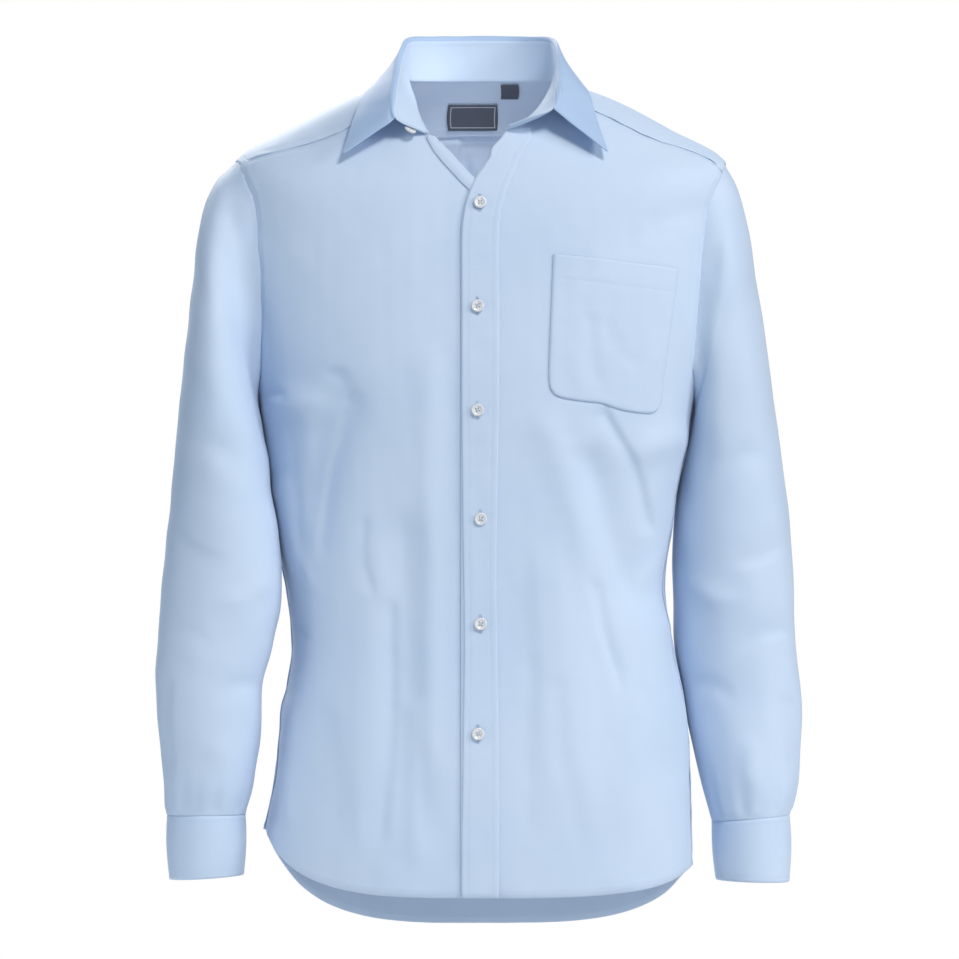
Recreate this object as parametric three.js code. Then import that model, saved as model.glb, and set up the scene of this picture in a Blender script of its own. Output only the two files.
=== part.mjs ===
// Long sleeve dress shirt, filled out as it is worn, with an open collar and hollow sleeves.
// Millimetres. +Z is up, the front faces -Y and the wearer's left is +X.
// The origin is the middle of the neck opening, at the height of the side of the neck.
import * as THREE from 'three';

// Cloth thicknesses and clearances
const CLOTH = 1.2;
const FUSED_CLOTH = 1.7;
const TAPE = 1.0;
const SEAM_GAP = 0.3;

// Front closing
const PLACKET_LEFT = -17.4;
const PLACKET_RIGHT = 17;
const UNDER_FRONT_DEPTH = -(CLOTH + 0.4);
const UNDER_FRONT_FULL_X = -25;
const UNDER_FRONT_FREE_X = -70;
const FRONT_HEM_Z = -743;
const BACK_HEM_Z = -782;
const SIDE_HEM_Z = { left: -720, right: -687 };
const HEM_ROUND = 2.6;
const HEM_CORNER = 8;
const HEM_SHARE = 0.65;
const UNDERARM_Z = -290;

// Buttons. The band button's station counts along the collar, up is a share of the band's height.
const BUTTON_RADIUS = 5.8;
const BUTTON_HEIGHT = 2.4;
const BUTTON_RIM = 1.1;
const BUTTON_DISH = 0.7;
const BUTTON_ROUND = 0.6;
const BUTTON_SIDES = 10;
const FRONT_BUTTONS = [
  { x: 0, z: -109 }, { x: -2.3, z: -203.8 }, { x: -2.3, z: -298.6 },
  { x: 0.5, z: -398 }, { x: 0.5, z: -493.8 }, { x: -1.8, z: -594 },
];
const BAND_BUTTON = { station: 0.55, up: 0.72, probe: 0.1 };

// Back box pleat, a raised flat band under the yoke that runs out down the back
const PLEAT = { halfWidth: 18, edge: 5, height: 3, top: -38, fade: 260 };

// Cuffs and sleeve plackets
const CUFF_LAP = 0.1;
const CUFF_LAP_STEP = FUSED_CLOTH + 0.4;
const OPENING_SHARE = 0.85;
const SLEEVE_PLACKET = { halfWidth: 12.5, length: 150, lift: 0.2, columns: 3, rows: 7, buttonRow: 4 };

// Levels of the body form from below the hem to the neck: half widths on the wearer's two sides,
// depths before and behind the side line, heights at the front, side and back, and how square
// the section is (2 is an ellipse).
const FORM = [
  { left: 197, right: 201, front: 124, back: 120, zFront: -800, zSide: -800, zBack: -800, square: 2.7 },
  { left: 196, right: 200, front: 123, back: 119, zFront: -700, zSide: -700, zBack: -700, square: 2.7 },
  { left: 195, right: 191, front: 122, back: 118, zFront: -640, zSide: -640, zBack: -640, square: 2.7 },
  { left: 192, right: 182.5, front: 119, back: 114, zFront: -580, zSide: -580, zBack: -580, square: 2.7 },
  { left: 180.5, right: 174, front: 116, back: 110, zFront: -520, zSide: -520, zBack: -520, square: 2.7 },
  { left: 171, right: 180, front: 115, back: 108, zFront: -460, zSide: -460, zBack: -460, square: 2.7 },
  { left: 177, right: 192, front: 116, back: 110, zFront: -400, zSide: -400, zBack: -400, square: 2.7 },
  { left: 189, right: 200, front: 117, back: 114, zFront: -340, zSide: -340, zBack: -340, square: 2.7 },
  { left: 200, right: 206, front: 118, back: 118, zFront: -285, zSide: -285, zBack: -285, square: 2.7 },
  { left: 213, right: 214, front: 116, back: 120, zFront: -230, zSide: -230, zBack: -225, square: 2.7 },
  { left: 222, right: 222, front: 111, back: 119, zFront: -175, zSide: -170, zBack: -168, square: 2.7 },
  { left: 227, right: 227, front: 104, back: 115, zFront: -130, zSide: -114, zBack: -118, square: 2.7 },
  { left: 228, right: 227, front: 96, back: 106, zFront: -98, zSide: -68, zBack: -78, square: 2.6 },
  { left: 178, right: 178, front: 87, back: 95, zFront: -76, zSide: -38, zBack: -40, square: 2.5 },
  { left: 122, right: 120, front: 79, back: 80, zFront: -59, zSide: -9, zBack: -10, square: 2.3 },
  { left: 68, right: 67, front: 72, back: 62, zFront: -45, zSide: 9, zBack: 11.5, square: 2.2 },
];
const HEIGHT_BLEND = 1.4;
const TOP_LEVEL = FORM.length - 1;

// Lines drawn on the form, as seen from the front or from behind (x, z)
const FRONT_EDGE_LEFT = [
  [PLACKET_LEFT, UNDERARM_Z], [PLACKET_LEFT, -200], [PLACKET_LEFT, -135], [-12.8, -106],
  [0, -78], [8.2, -67], [13, -55], [24, -41],
];
const PLACKET_SEAM = [
  [PLACKET_RIGHT, UNDERARM_Z], [PLACKET_RIGHT, -200], [PLACKET_RIGHT, -140], [20, -112],
  [29, -85], [38, -62], [46, -38],
];
const FRONT_EDGE_RIGHT = [
  [PLACKET_RIGHT, UNDERARM_Z], [PLACKET_RIGHT, -200], [PLACKET_RIGHT, -150], [12, -120], [3, -98],
  [-5.7, -84.7], [-19.8, -69.6], [-30, -58], [-40, -48], [-47.6, -44],
];
const TURNED_EDGE_INNER = [[-8.5, -82.6], [-19.8, -69.6], [-30, -58], [-39, -50]];
const TURNED_EDGE_OUTER = [[-14, -90.4], [-24, -80.5], [-36, -68], [-43, -58]];
const YOKE_SEAM_LEFT = [[224, -78], [199, -60], [150, -43], [103, -20], [62.5, -7.3]];
const YOKE_SEAM_RIGHT = [[-221, -70], [-177, -57], [-133, -43], [-86, -17], [-62, -7.3]];
const YOKE_SEAM_BACK = [[-216, -92], [-180, -76], [-120, -56], [-60, -43], [0, -38],
  [60, -43], [120, -56], [180, -76], [216, -94]];
const ARMHOLE_LEFT = {
  front: [[224, -78], [214, -101], [206, -147], [202, -190], [199.5, -225], [196.5, -262]],
  back: [[216, -94], [209, -130], [205, -180], [203, -225], [199, -262]],
};
const ARMHOLE_RIGHT = {
  front: [[-221, -70], [-211, -98], [-204, -147], [-201.5, -190], [-201.5, -235], [-202.5, -265]],
  back: [[-216, -92], [-208, -130], [-205, -180], [-204, -225], [-204, -262]],
};
const POCKET = {
  bottom: [[66.6, -283.2], [71.5, -286], [80, -287.5], [96, -289.8], [120, -293.6], [142, -297.6],
    [154, -299.9], [159.5, -299.4], [163.5, -296.5]],
  top: [[67, -156.3], [110, -160.6], [146, -164.8], [181.8, -169.2]],
  left: [[66.6, -283.2], [63.9, -277.5], [62.8, -268], [63.2, -250], [64.5, -215], [67, -156.3]],
  right: [[163.5, -296.5], [166, -290], [167.3, -280], [169, -262], [173.5, -228], [181.8, -169.2]],
};
const NECK_LABEL = { left: -30, right: 16, low: -32, high: -8.4 };
const SIZE_TAB = { left: 19.8, right: 35.8, low: -3, high: 9.5 };

// Heights above the form mean its top level, the neck ring.
const NECK_TOP = 20;

// Collar stations from the wearer's right front end round the back to the left front end:
// where the band is sewn to the neckline, the top of the band, and the edge of the leaf.
const COLLAR = [
  { neck: [-47.6, -44], top: [-51, -71, -42] },
  { neck: [-51, -38], top: [-78, -80, -31], edge: [-126, -84, -62.5] },
  { neck: [-56.5, -26], top: [-78.5, -61, -9], edge: [-117.5, -61, -33] },
  { neck: [-62, -7.3], top: [-76, -34, 13], edge: [-108, -27, -6] },
  { neck: [-66.5, NECK_TOP], top: [-71.5, 2, 36], edge: [-98.5, 12, 2.5], behind: true },
  { neck: [-61.5, NECK_TOP], top: [-65.5, 30, 46.5], edge: [-86, 52, 0], behind: true },
  { neck: [-37, NECK_TOP], top: [-41, 54, 49], edge: [-50, 80, 1], behind: true },
  { neck: [0, NECK_TOP], top: [0, 61, 50], edge: [0, 88, 1], behind: true },
  { neck: [37, NECK_TOP], top: [41, 54, 49], edge: [50, 80, 1], behind: true },
  { neck: [61.5, NECK_TOP], top: [65, 30, 46.5], edge: [83, 52, 0], behind: true },
  { neck: [66.5, NECK_TOP], top: [71, 0, 36], edge: [96, 12, 4], behind: true },
  { neck: [62.5, -7.3], top: [72, -34, 14], edge: [102, -29, -7.5] },
  { neck: [54, -20.5], top: [70.5, -60, -5], edge: [109, -56, -34] },
  { neck: [45, -29.5], top: [67.5, -79, -22], edge: [117, -83, -60] },
  { neck: [34, -37], top: [46, -83, -30.5] },
  { neck: [24, -41], top: [27, -76, -37] },
];
const COLLAR_LEAF_FIRST = 1;
const COLLAR_LEAF_LAST = 13;
const YOKE_NECK_RIGHT = 3;
const YOKE_NECK_LEFT = 11;

// Sleeve sections below the armhole: the outer and inner points seen from the front, the middle
// and the half depth front to back, and how square the section is.
const SLEEVE_LEFT = [
  { outer: [238, -89], inner: [200.5, -301], middle: 3, depth: 70, square: 2.2 },
  { outer: [248, -124], inner: [199.5, -310], middle: 8, depth: 74, square: 2.2 },
  { outer: [258, -183], inner: [197, -322], middle: 14, depth: 77, square: 2.1 },
  { outer: [268.5, -250], inner: [192.5, -340], middle: 22, depth: 77, square: 2.1 },
  { outer: [279.5, -328], inner: [185, -370], middle: 29, depth: 74, square: 2.1 },
  { outer: [289.5, -400], inner: [180, -412], middle: 30, depth: 68, square: 2.1 },
  { outer: [293.5, -466], inner: [180, -466], middle: 31, depth: 61, square: 2.1 },
  { outer: [295.5, -515], inner: [181.5, -512], middle: 34, depth: 57, square: 2.1 },
  { outer: [300, -558], inner: [187.5, -553], middle: 35, depth: 54, square: 2.1 },
  { outer: [300.5, -598], inner: [194.5, -594], middle: 31, depth: 51, square: 2.1 },
  { outer: [296, -644], inner: [206, -641], middle: 22, depth: 47, square: 2.1 },
];
const SLEEVE_RIGHT = [
  { outer: [-244.5, -84], inner: [-206.5, -301], middle: -6, depth: 70, square: 2.2 },
  { outer: [-258, -118], inner: [-205, -310], middle: -15, depth: 74, square: 2.2 },
  { outer: [-265.5, -176], inner: [-202, -322], middle: -30, depth: 77, square: 2.1 },
  { outer: [-272.5, -250], inner: [-198, -340], middle: -44, depth: 77, square: 2.1 },
  { outer: [-280.5, -325], inner: [-193, -370], middle: -51, depth: 74, square: 2.1 },
  { outer: [-286.5, -400], inner: [-186, -412], middle: -54, depth: 68, square: 2.1 },
  { outer: [-293.5, -462], inner: [-182.5, -464], middle: -55, depth: 61, square: 2.1 },
  { outer: [-297.5, -512], inner: [-190, -510], middle: -54, depth: 56, square: 2.1 },
  { outer: [-299.5, -552], inner: [-200.5, -550], middle: -51, depth: 53, square: 2.1 },
  { outer: [-296.5, -598], inner: [-202, -594], middle: -46, depth: 50, square: 2.1 },
  { outer: [-291.5, -644], inner: [-209, -642], middle: -40, depth: 46, square: 2.1 },
];
const CUFF_LEFT = {
  top: { outer: [289, -674], inner: [216, -680], middle: 17, depth: 39.5, square: 2.1 },
  bottom: { outer: [288.5, -736], inner: [219.5, -734], middle: 13, depth: 38.5, square: 2.1 },
};
const CUFF_RIGHT = {
  top: { outer: [-290, -671], inner: [-216.5, -671], middle: -36, depth: 39.5, square: 2.1 },
  bottom: { outer: [-288, -731], inner: [-218.5, -727], middle: -33, depth: 38.5, square: 2.1 },
};

// The largest folds: a soft line on the front or the back from one point to another (x, z),
// with its half width and its height, which is negative for a trough. They fade out towards
// the placket, from twice FLAT_MIDDLE to FLAT_MIDDLE off the centre.
const FOLDS = [
  { from: [-128, -268], to: [-172, -425], width: 26, height: -9, back: false },
  { from: [-196, -288], to: [-120, -300], width: 15, height: 6, back: false },
  { from: [-70, -390], to: [-62, -690], width: 20, height: -5, back: false },
  { from: [-38, -240], to: [-40, -640], width: 18, height: 4, back: false },
  { from: [108, -330], to: [160, -500], width: 24, height: -7, back: false },
  { from: [60, -420], to: [95, -700], width: 26, height: 4, back: false },
  { from: [196, -318], to: [128, -345], width: 14, height: 4, back: false },
  { from: [-150, -300], to: [-90, -560], width: 26, height: -6, back: true },
  { from: [150, -300], to: [95, -560], width: 26, height: -6, back: true },
  { from: [0, -330], to: [10, -700], width: 30, height: 4, back: true },
];
const FLAT_MIDDLE = 27;

const signedPower = (value, power) => Math.sign(value) * Math.abs(value) ** power;
const smooth = (low, high, value) => {
  const share = Math.min(1, Math.max(0, (value - low) / (high - low)));
  return share * share * (3 - 2 * share);
};

// Value of one column of a table between its rows, as a Catmull-Rom curve.
function between(rows, column, place) {
  const last = rows.length - 1;
  const row = Math.min(last - 1, Math.max(0, Math.floor(place)));
  const value = (index) => rows[Math.min(last, Math.max(0, index))][column];
  const t = place - row;
  const [a, b, c, d] = [value(row - 1), value(row), value(row + 1), value(row + 2)];
  return b + 0.5 * t * (c - a + t * (2 * a - 5 * b + 4 * c - d + t * (3 * (b - c) + d - a)));
}

// Body form: turn is 0 at the centre front, 0.5 at the wearer's left side, -0.5 at the right
// side and -1 at the centre back. level counts the rows of FORM.
function formPoint(turn, level) {
  const across = Math.sin(Math.PI * turn);
  const ahead = Math.cos(Math.PI * turn);
  const power = 2 / between(FORM, 'square', level);
  const width = between(FORM, across > 0 ? 'left' : 'right', level);
  const depth = between(FORM, ahead > 0 ? 'front' : 'back', level);
  const side = between(FORM, 'zSide', level);
  const end = between(FORM, ahead > 0 ? 'zFront' : 'zBack', level);
  return new THREE.Vector3(
    width * signedPower(across, power),
    -depth * signedPower(ahead, power),
    side + (end - side) * Math.abs(ahead) ** HEIGHT_BLEND,
  );
}

// Height of all folds at a point of the form.
function foldHeight(point) {
  const flatMiddle = point.y > 0 ? 1 : smooth(FLAT_MIDDLE, 2 * FLAT_MIDDLE, Math.abs(point.x));
  let height = 0;
  for (const fold of FOLDS) {
    if (fold.back !== point.y > 0) continue;
    const [x0, z0] = fold.from;
    const [x1, z1] = fold.to;
    const length = Math.hypot(x1 - x0, z1 - z0);
    const along = ((point.x - x0) * (x1 - x0) + (point.z - z0) * (z1 - z0)) / length;
    const aside = ((point.x - x0) * (z1 - z0) - (point.z - z0) * (x1 - x0)) / length;
    const ends = smooth(-0.5 * fold.width, 1.5 * fold.width, along)
      * smooth(-0.5 * fold.width, 2.5 * fold.width, length - along);
    height += flatMiddle * fold.height * ends * Math.exp(-((aside / fold.width) ** 2));
  }
  return height;
}

// Height of the box pleat at a place of the back.
function pleatHeight(place) {
  const point = formPoint(place.turn, place.level);
  const wide = 1 - smooth(PLEAT.halfWidth, PLEAT.halfWidth + PLEAT.edge, Math.abs(point.x));
  return PLEAT.height * wide * smooth(PLEAT.top - PLEAT.fade, PLEAT.top, point.z);
}

// Outward normal of the form.
function formNormal(turn, level) {
  const step = 0.004;
  const levelLow = Math.max(0, level - step * 10);
  const levelHigh = Math.min(TOP_LEVEL, level + step * 10);
  const round = formPoint(turn + step, level).sub(formPoint(turn - step, level));
  const up = formPoint(turn, levelHigh).sub(formPoint(turn, levelLow));
  return round.cross(up).normalize();
}

// Point of the cloth at a distance outside the form, with the folds.
function onForm(place, distance) {
  const point = formPoint(place.turn, place.level);
  const lift = distance + foldHeight(point);
  return point.addScaledVector(formNormal(place.turn, place.level), lift);
}

// Place on the form that is seen at (x, z), from the front or from behind.
function placeSeen([x, z], behind = false) {
  const column = x > 0 ? 'left' : 'right';
  const turnAt = (level) => {
    const share = Math.min(1, Math.abs(x) / between(FORM, column, level));
    const angle = Math.asin(share ** (between(FORM, 'square', level) / 2)) / Math.PI;
    return behind ? -1 - Math.sign(x) * angle : Math.sign(x) * angle;
  };
  let low = 0;
  let high = TOP_LEVEL;
  for (let pass = 0; pass < 40; pass += 1) {
    const level = (low + high) / 2;
    if (formPoint(turnAt(level), level).z < z) low = level;
    else high = level;
  }
  return { turn: turnAt(low), level: low };
}

// Level of the form with height z at a turn.
function levelAt(turn, z) {
  let low = 0;
  let high = TOP_LEVEL;
  for (let pass = 0; pass < 40; pass += 1) {
    const level = (low + high) / 2;
    if (formPoint(turn, level).z < z) low = level;
    else high = level;
  }
  return low;
}

// Curve on the form through a list of places: it takes 0 to 1 and gives a place.
const TURN_SCALE = 14;
function curveThrough(places) {
  const spline = new THREE.SplineCurve(
    places.map((place) => new THREE.Vector2(place.turn * TURN_SCALE, place.level)),
  );
  return (share) => {
    const point = spline.getPointAt(Math.min(1, Math.max(0, share)));
    return { turn: point.x / TURN_SCALE, level: point.y };
  };
}
const curveSeen = (points, behind = false) => curveThrough(points.map((p) => placeSeen(p, behind)));

// Several curves end to end, each with its share of 0 to 1.
function joined(...pieces) {
  return (share) => {
    let start = 0;
    for (const [curve, length] of pieces) {
      if (share <= start + length + 1e-9) return curve(Math.min(1, (share - start) / length));
      start += length;
    }
    return pieces[pieces.length - 1][0](1);
  };
}
const reversed = (curve) => (share) => curve(1 - share);
const turnedRound = (curve, turns) => (share) => {
  const place = curve(share);
  return { turn: place.turn + turns, level: place.level };
};

// Places of a panel between its four edges: a Coons patch on the form.
function patch({ bottom, top, start, end }) {
  const mix = (key, u, v) => {
    const corners = (1 - u) * (1 - v) * bottom(0)[key] + u * (1 - v) * bottom(1)[key]
      + (1 - u) * v * top(0)[key] + u * v * top(1)[key];
    return (1 - v) * bottom(u)[key] + v * top(u)[key]
      + (1 - u) * start(v)[key] + u * end(v)[key] - corners;
  };
  return (u, v) => ({ turn: mix('turn', u, v), level: mix('level', u, v) });
}

// Grid of points from a function of u and v.
function grid(columns, rows, pointAt) {
  const points = [];
  for (let i = 0; i <= columns; i += 1) {
    points.push([]);
    for (let j = 0; j <= rows; j += 1) points[i].push(pointAt(i / columns, j / rows));
  }
  return points;
}

// Closed wall between an outer and an inner grid. A wrapped wall closes on itself round u.
function wallGeometry(outer, inner, wrapped = false) {
  const columns = outer.length - 1;
  const rows = outer[0].length - 1;
  const stored = wrapped ? columns : columns + 1;
  const positions = [];
  for (const layer of [outer, inner]) {
    for (let i = 0; i < stored; i += 1) {
      for (let j = 0; j <= rows; j += 1) positions.push(...layer[i][j].toArray());
    }
  }
  const half = stored * (rows + 1);
  const at = (layer, i, j) => layer * half + (i % stored) * (rows + 1) + j;
  const faces = [];
  const quad = (a, b, c, d) => faces.push(a, b, c, a, c, d);
  for (let i = 0; i < columns; i += 1) {
    for (let j = 0; j < rows; j += 1) {
      quad(at(0, i, j), at(0, i + 1, j), at(0, i + 1, j + 1), at(0, i, j + 1));
      quad(at(1, i, j), at(1, i, j + 1), at(1, i + 1, j + 1), at(1, i + 1, j));
    }
    quad(at(0, i, 0), at(1, i, 0), at(1, i + 1, 0), at(0, i + 1, 0));
    quad(at(0, i, rows), at(0, i + 1, rows), at(1, i + 1, rows), at(1, i, rows));
  }
  if (!wrapped) {
    for (let j = 0; j < rows; j += 1) {
      quad(at(0, 0, j), at(0, 0, j + 1), at(1, 0, j + 1), at(1, 0, j));
      quad(at(0, columns, j), at(1, columns, j), at(1, columns, j + 1), at(0, columns, j + 1));
    }
  }
  const geometry = new THREE.BufferGeometry();
  geometry.setAttribute('position', new THREE.Float32BufferAttribute(positions, 3));
  geometry.setIndex(faces);
  return facingOut(geometry);
}

// The same geometry with its faces pointing out.
function facingOut(geometry) {
  const position = geometry.getAttribute('position');
  const index = geometry.getIndex();
  const corner = (k) => new THREE.Vector3().fromBufferAttribute(position, index.getX(k));
  let volume = 0;
  for (let k = 0; k < index.count; k += 3) {
    volume += corner(k).dot(corner(k + 1).cross(corner(k + 2)));
  }
  if (volume < 0) {
    for (let k = 0; k < index.count; k += 3) {
      const swap = index.getX(k + 1);
      index.setX(k + 1, index.getX(k + 2));
      index.setX(k + 2, swap);
    }
  }
  return geometry;
}

// Normals of a grid from its own points, turned towards a side by sign.
function gridNormals(points, sign, wrapped = false) {
  const columns = points.length - 1;
  const rows = points[0].length - 1;
  const before = (i) => (i > 0 ? i - 1 : wrapped ? columns - 1 : 0);
  const after = (i) => (i < columns ? i + 1 : wrapped ? 1 : columns);
  return points.map((line, i) => line.map((point, j) => {
    const round = points[after(i)][j].clone().sub(points[before(i)][j]);
    const up = line[Math.min(rows, j + 1)].clone().sub(line[Math.max(0, j - 1)]);
    return round.cross(up).normalize().multiplyScalar(sign);
  }));
}

const offsetGrid = (points, normals, distance) => points.map(
  (line, i) => line.map((point, j) => point.clone().addScaledVector(normals[i][j], distance)),
);

const group = new THREE.Group();
const COLOURS = { cloth: 0xbfd3ef, collar: 0xbdd2f0, button: 0xe6e9ee, label: 0x3b4354 };
const FINISH = {
  cloth: { roughness: 0.62, metalness: 0 },
  collar: { roughness: 0.58, metalness: 0 },
  button: { roughness: 0.25, metalness: 0 },
  label: { roughness: 0.8, metalness: 0 },
};
function addPiece(name, kind, geometry) {
  const material = new THREE.MeshStandardMaterial({ color: COLOURS[kind], ...FINISH[kind] });
  const mesh = new THREE.Mesh(geometry, material);
  mesh.name = name;
  group.add(mesh);
  return mesh;
}

// Wall of cloth on the form between two distances from it.
function addOnForm(name, kind, places, size, outerAt, thickness) {
  const [columns, rows] = size;
  const layer = (shift) => grid(columns, rows, (u, v) => {
    const place = places(u, v);
    return onForm(place, outerAt(place) - shift);
  });
  return addPiece(name, kind, wallGeometry(layer(0), layer(thickness)));
}

// Neckline through the collar stations, one station per unit of place.
const neckPlaces = COLLAR.map((station, index) => {
  const place = placeSeen(station.neck, station.behind);
  const past = index > COLLAR_LEAF_LAST - 3 && !station.behind;
  return { turn: place.turn - (past ? 2 : 0), level: place.level };
});
const neckSpline = new THREE.SplineCurve(
  neckPlaces.map((place) => new THREE.Vector2(place.turn * TURN_SCALE, place.level)),
);
const neckAt = (station) => {
  const point = neckSpline.getPoint(station / (COLLAR.length - 1));
  return { turn: point.x / TURN_SCALE, level: point.y };
};
const neckCurve = (from, to) => (share) => neckAt(from + (to - from) * share);

// Hem, as a height at each turn.
function hemPlace(turn) {
  const across = Math.abs(Math.sin(Math.PI * turn));
  const side = Math.sin(Math.PI * turn) > 0 ? SIDE_HEM_Z.left : SIDE_HEM_Z.right;
  const middle = Math.cos(Math.PI * turn) > 0 ? FRONT_HEM_Z : BACK_HEM_Z;
  const rise = HEM_SHARE * across ** HEM_ROUND + (1 - HEM_SHARE) * across ** HEM_CORNER;
  return { turn, level: levelAt(turn, middle + (side - middle) * rise) };
}

// Armholes and side seams
const SIDES = {
  left: { sign: 1, turn: 0.5, armhole: ARMHOLE_LEFT, yokeSeam: YOKE_SEAM_LEFT, neck: YOKE_NECK_LEFT },
  right: { sign: -1, turn: -0.5, armhole: ARMHOLE_RIGHT, yokeSeam: YOKE_SEAM_RIGHT, neck: YOKE_NECK_RIGHT },
};
const SHOULDER_LEVEL = 12;
for (const side of Object.values(SIDES)) {
  const underarm = { turn: side.turn, level: levelAt(side.turn, UNDERARM_Z) };
  const shoulder = { turn: side.turn, level: SHOULDER_LEVEL };
  const front = side.armhole.front.map((point) => placeSeen(point));
  const back = side.armhole.back.map((point) => {
    const place = placeSeen(point, true);
    return { turn: place.turn + (side.sign > 0 ? 2 : 0), level: place.level };
  });
  side.underarm = underarm;
  side.frontArmhole = curveThrough([underarm, ...[...front].reverse()]);
  side.backArmhole = curveThrough([underarm, ...[...back].reverse()]);
  side.overShoulder = curveThrough([front[0], shoulder, back[0]]);
  side.seam = (share) => {
    const foot = hemPlace(side.turn);
    return { turn: side.turn, level: foot.level + (underarm.level - foot.level) * share };
  };
}

// Seam edges stand back from each other by this much of a turn or a level.
const TURN_GAP = 0.0008;
const LEVEL_GAP = 0.012;
const away = (curve, turn, level) => (share) => {
  const place = curve(share);
  return { turn: place.turn + turn, level: place.level + level };
};

const BODY_SHARE = 0.5;
const NECK_SHARE = 0.1;

// A front runs up from the hem along its free edge and the neckline to the yoke seam.
function frontPanel(side, edgePoints) {
  const { sign } = side;
  const edgeTurn = (level) => placeSeen([edgePoints[0][0], formPoint(0, level).z]).turn;
  const hemFrom = edgeTurn(levelAt(0, FRONT_HEM_Z));
  const hem = (share) => hemPlace(hemFrom + (side.turn - hemFrom) * share);
  const lowLevel = hem(0).level;
  const highLevel = side.underarm.level;
  const lowEdge = (share) => {
    const level = lowLevel + (highLevel - lowLevel) * share;
    return { turn: edgeTurn(level), level };
  };
  const last = COLLAR.length - 1;
  const neck = sign > 0
    ? turnedRound(neckCurve(last, side.neck), 2)
    : neckCurve(0, side.neck);
  const highEdge = curveThrough([lowEdge(1), ...edgePoints.slice(1).map((p) => placeSeen(p))]);
  return patch({
    bottom: hem,
    top: away(reversed(curveSeen(side.yokeSeam)), -sign * TURN_GAP, -LEVEL_GAP),
    start: joined([lowEdge, BODY_SHARE], [highEdge, 1 - BODY_SHARE - NECK_SHARE], [neck, NECK_SHARE]),
    end: away(joined([side.seam, BODY_SHARE], [side.frontArmhole, 1 - BODY_SHARE]), -sign * TURN_GAP, 0),
  });
}

const underFront = (place) => {
  const { x } = formPoint(place.turn, place.level);
  return UNDER_FRONT_DEPTH * smooth(UNDER_FRONT_FREE_X, UNDER_FRONT_FULL_X, x);
};
const FRONT_GRID = [16, 30];
addOnForm('front_left', 'cloth', frontPanel(SIDES.left, FRONT_EDGE_LEFT), FRONT_GRID, () => 0, CLOTH);
addOnForm('front_right', 'cloth', frontPanel(SIDES.right, FRONT_EDGE_RIGHT), FRONT_GRID, underFront, CLOTH);

// Straight run between two places
const straight = (a, b) => (share) => ({
  turn: a.turn + (b.turn - a.turn) * share,
  level: a.level + (b.level - a.level) * share,
});
const ruled = (first, second) => patch({
  bottom: straight(first(0), second(0)),
  top: straight(first(1), second(1)),
  start: first,
  end: second,
});

// Edge of the right front, turned outwards below the collar
addOnForm(
  'turned_edge', 'cloth', ruled(curveSeen(TURNED_EDGE_OUTER), curveSeen(TURNED_EDGE_INNER)), [2, 10],
  (place) => underFront(place) + SEAM_GAP + CLOTH, CLOTH,
);

// Placket down the left front
const LAID_ON = SEAM_GAP + TAPE;
const PLACKET_SHARE = BODY_SHARE / (1 - NECK_SHARE);
const PLACKET_GRID = [3, 27];
const edgeToHem = (points) => {
  const foot = placeSeen([points[0][0], FRONT_HEM_Z + 1]);
  return joined([straight(foot, placeSeen(points[0])), PLACKET_SHARE], [curveSeen(points), 1 - PLACKET_SHARE]);
};
addOnForm(
  'placket', 'cloth',
  ruled(away(edgeToHem(FRONT_EDGE_LEFT), TURN_GAP, -LEVEL_GAP), away(edgeToHem(PLACKET_SEAM), 0, -LEVEL_GAP)),
  PLACKET_GRID, () => LAID_ON, TAPE,
);

// Chest pocket
const POCKET_LIFT = 0.5;
addOnForm(
  'pocket', 'cloth',
  patch({
    bottom: curveSeen(POCKET.bottom),
    top: curveSeen(POCKET.top),
    start: curveSeen(POCKET.left),
    end: curveSeen(POCKET.right),
  }),
  [8, 10], () => LAID_ON + POCKET_LIFT, TAPE,
);

// Back, with its box pleat
const backSeam = away(curveSeen(YOKE_SEAM_BACK, true), 0, -LEVEL_GAP);
const backHem = (share) => hemPlace(-0.5 - share);
const backSide = (side, turns) => away(turnedRound(
  joined([side.seam, BODY_SHARE], [side.backArmhole, 1 - BODY_SHARE]), turns,
), side.sign * TURN_GAP, 0);
addOnForm(
  'back', 'cloth',
  patch({
    bottom: backHem,
    top: backSeam,
    start: backSide(SIDES.right, 0),
    end: backSide(SIDES.left, -2),
  }),
  [24, 24], pleatHeight, CLOTH,
);

// Yoke over the shoulders, from the front seams to the back seam
const SHOULDER_SHARE = 0.2;
const yokeOuter = joined(
  [SIDES.right.overShoulder, SHOULDER_SHARE],
  [away(curveSeen(YOKE_SEAM_BACK, true), 0, LEVEL_GAP), 1 - 2 * SHOULDER_SHARE],
  [turnedRound(reversed(SIDES.left.overShoulder), -2), SHOULDER_SHARE],
);
addOnForm(
  'yoke', 'cloth',
  patch({
    bottom: yokeOuter,
    top: neckCurve(YOKE_NECK_RIGHT, YOKE_NECK_LEFT),
    start: away(curveSeen(YOKE_SEAM_RIGHT), -TURN_GAP, LEVEL_GAP),
    end: turnedRound(away(curveSeen(YOKE_SEAM_LEFT), TURN_GAP, LEVEL_GAP), -2),
  }),
  [24, 16], () => 0, CLOTH,
);

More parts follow.
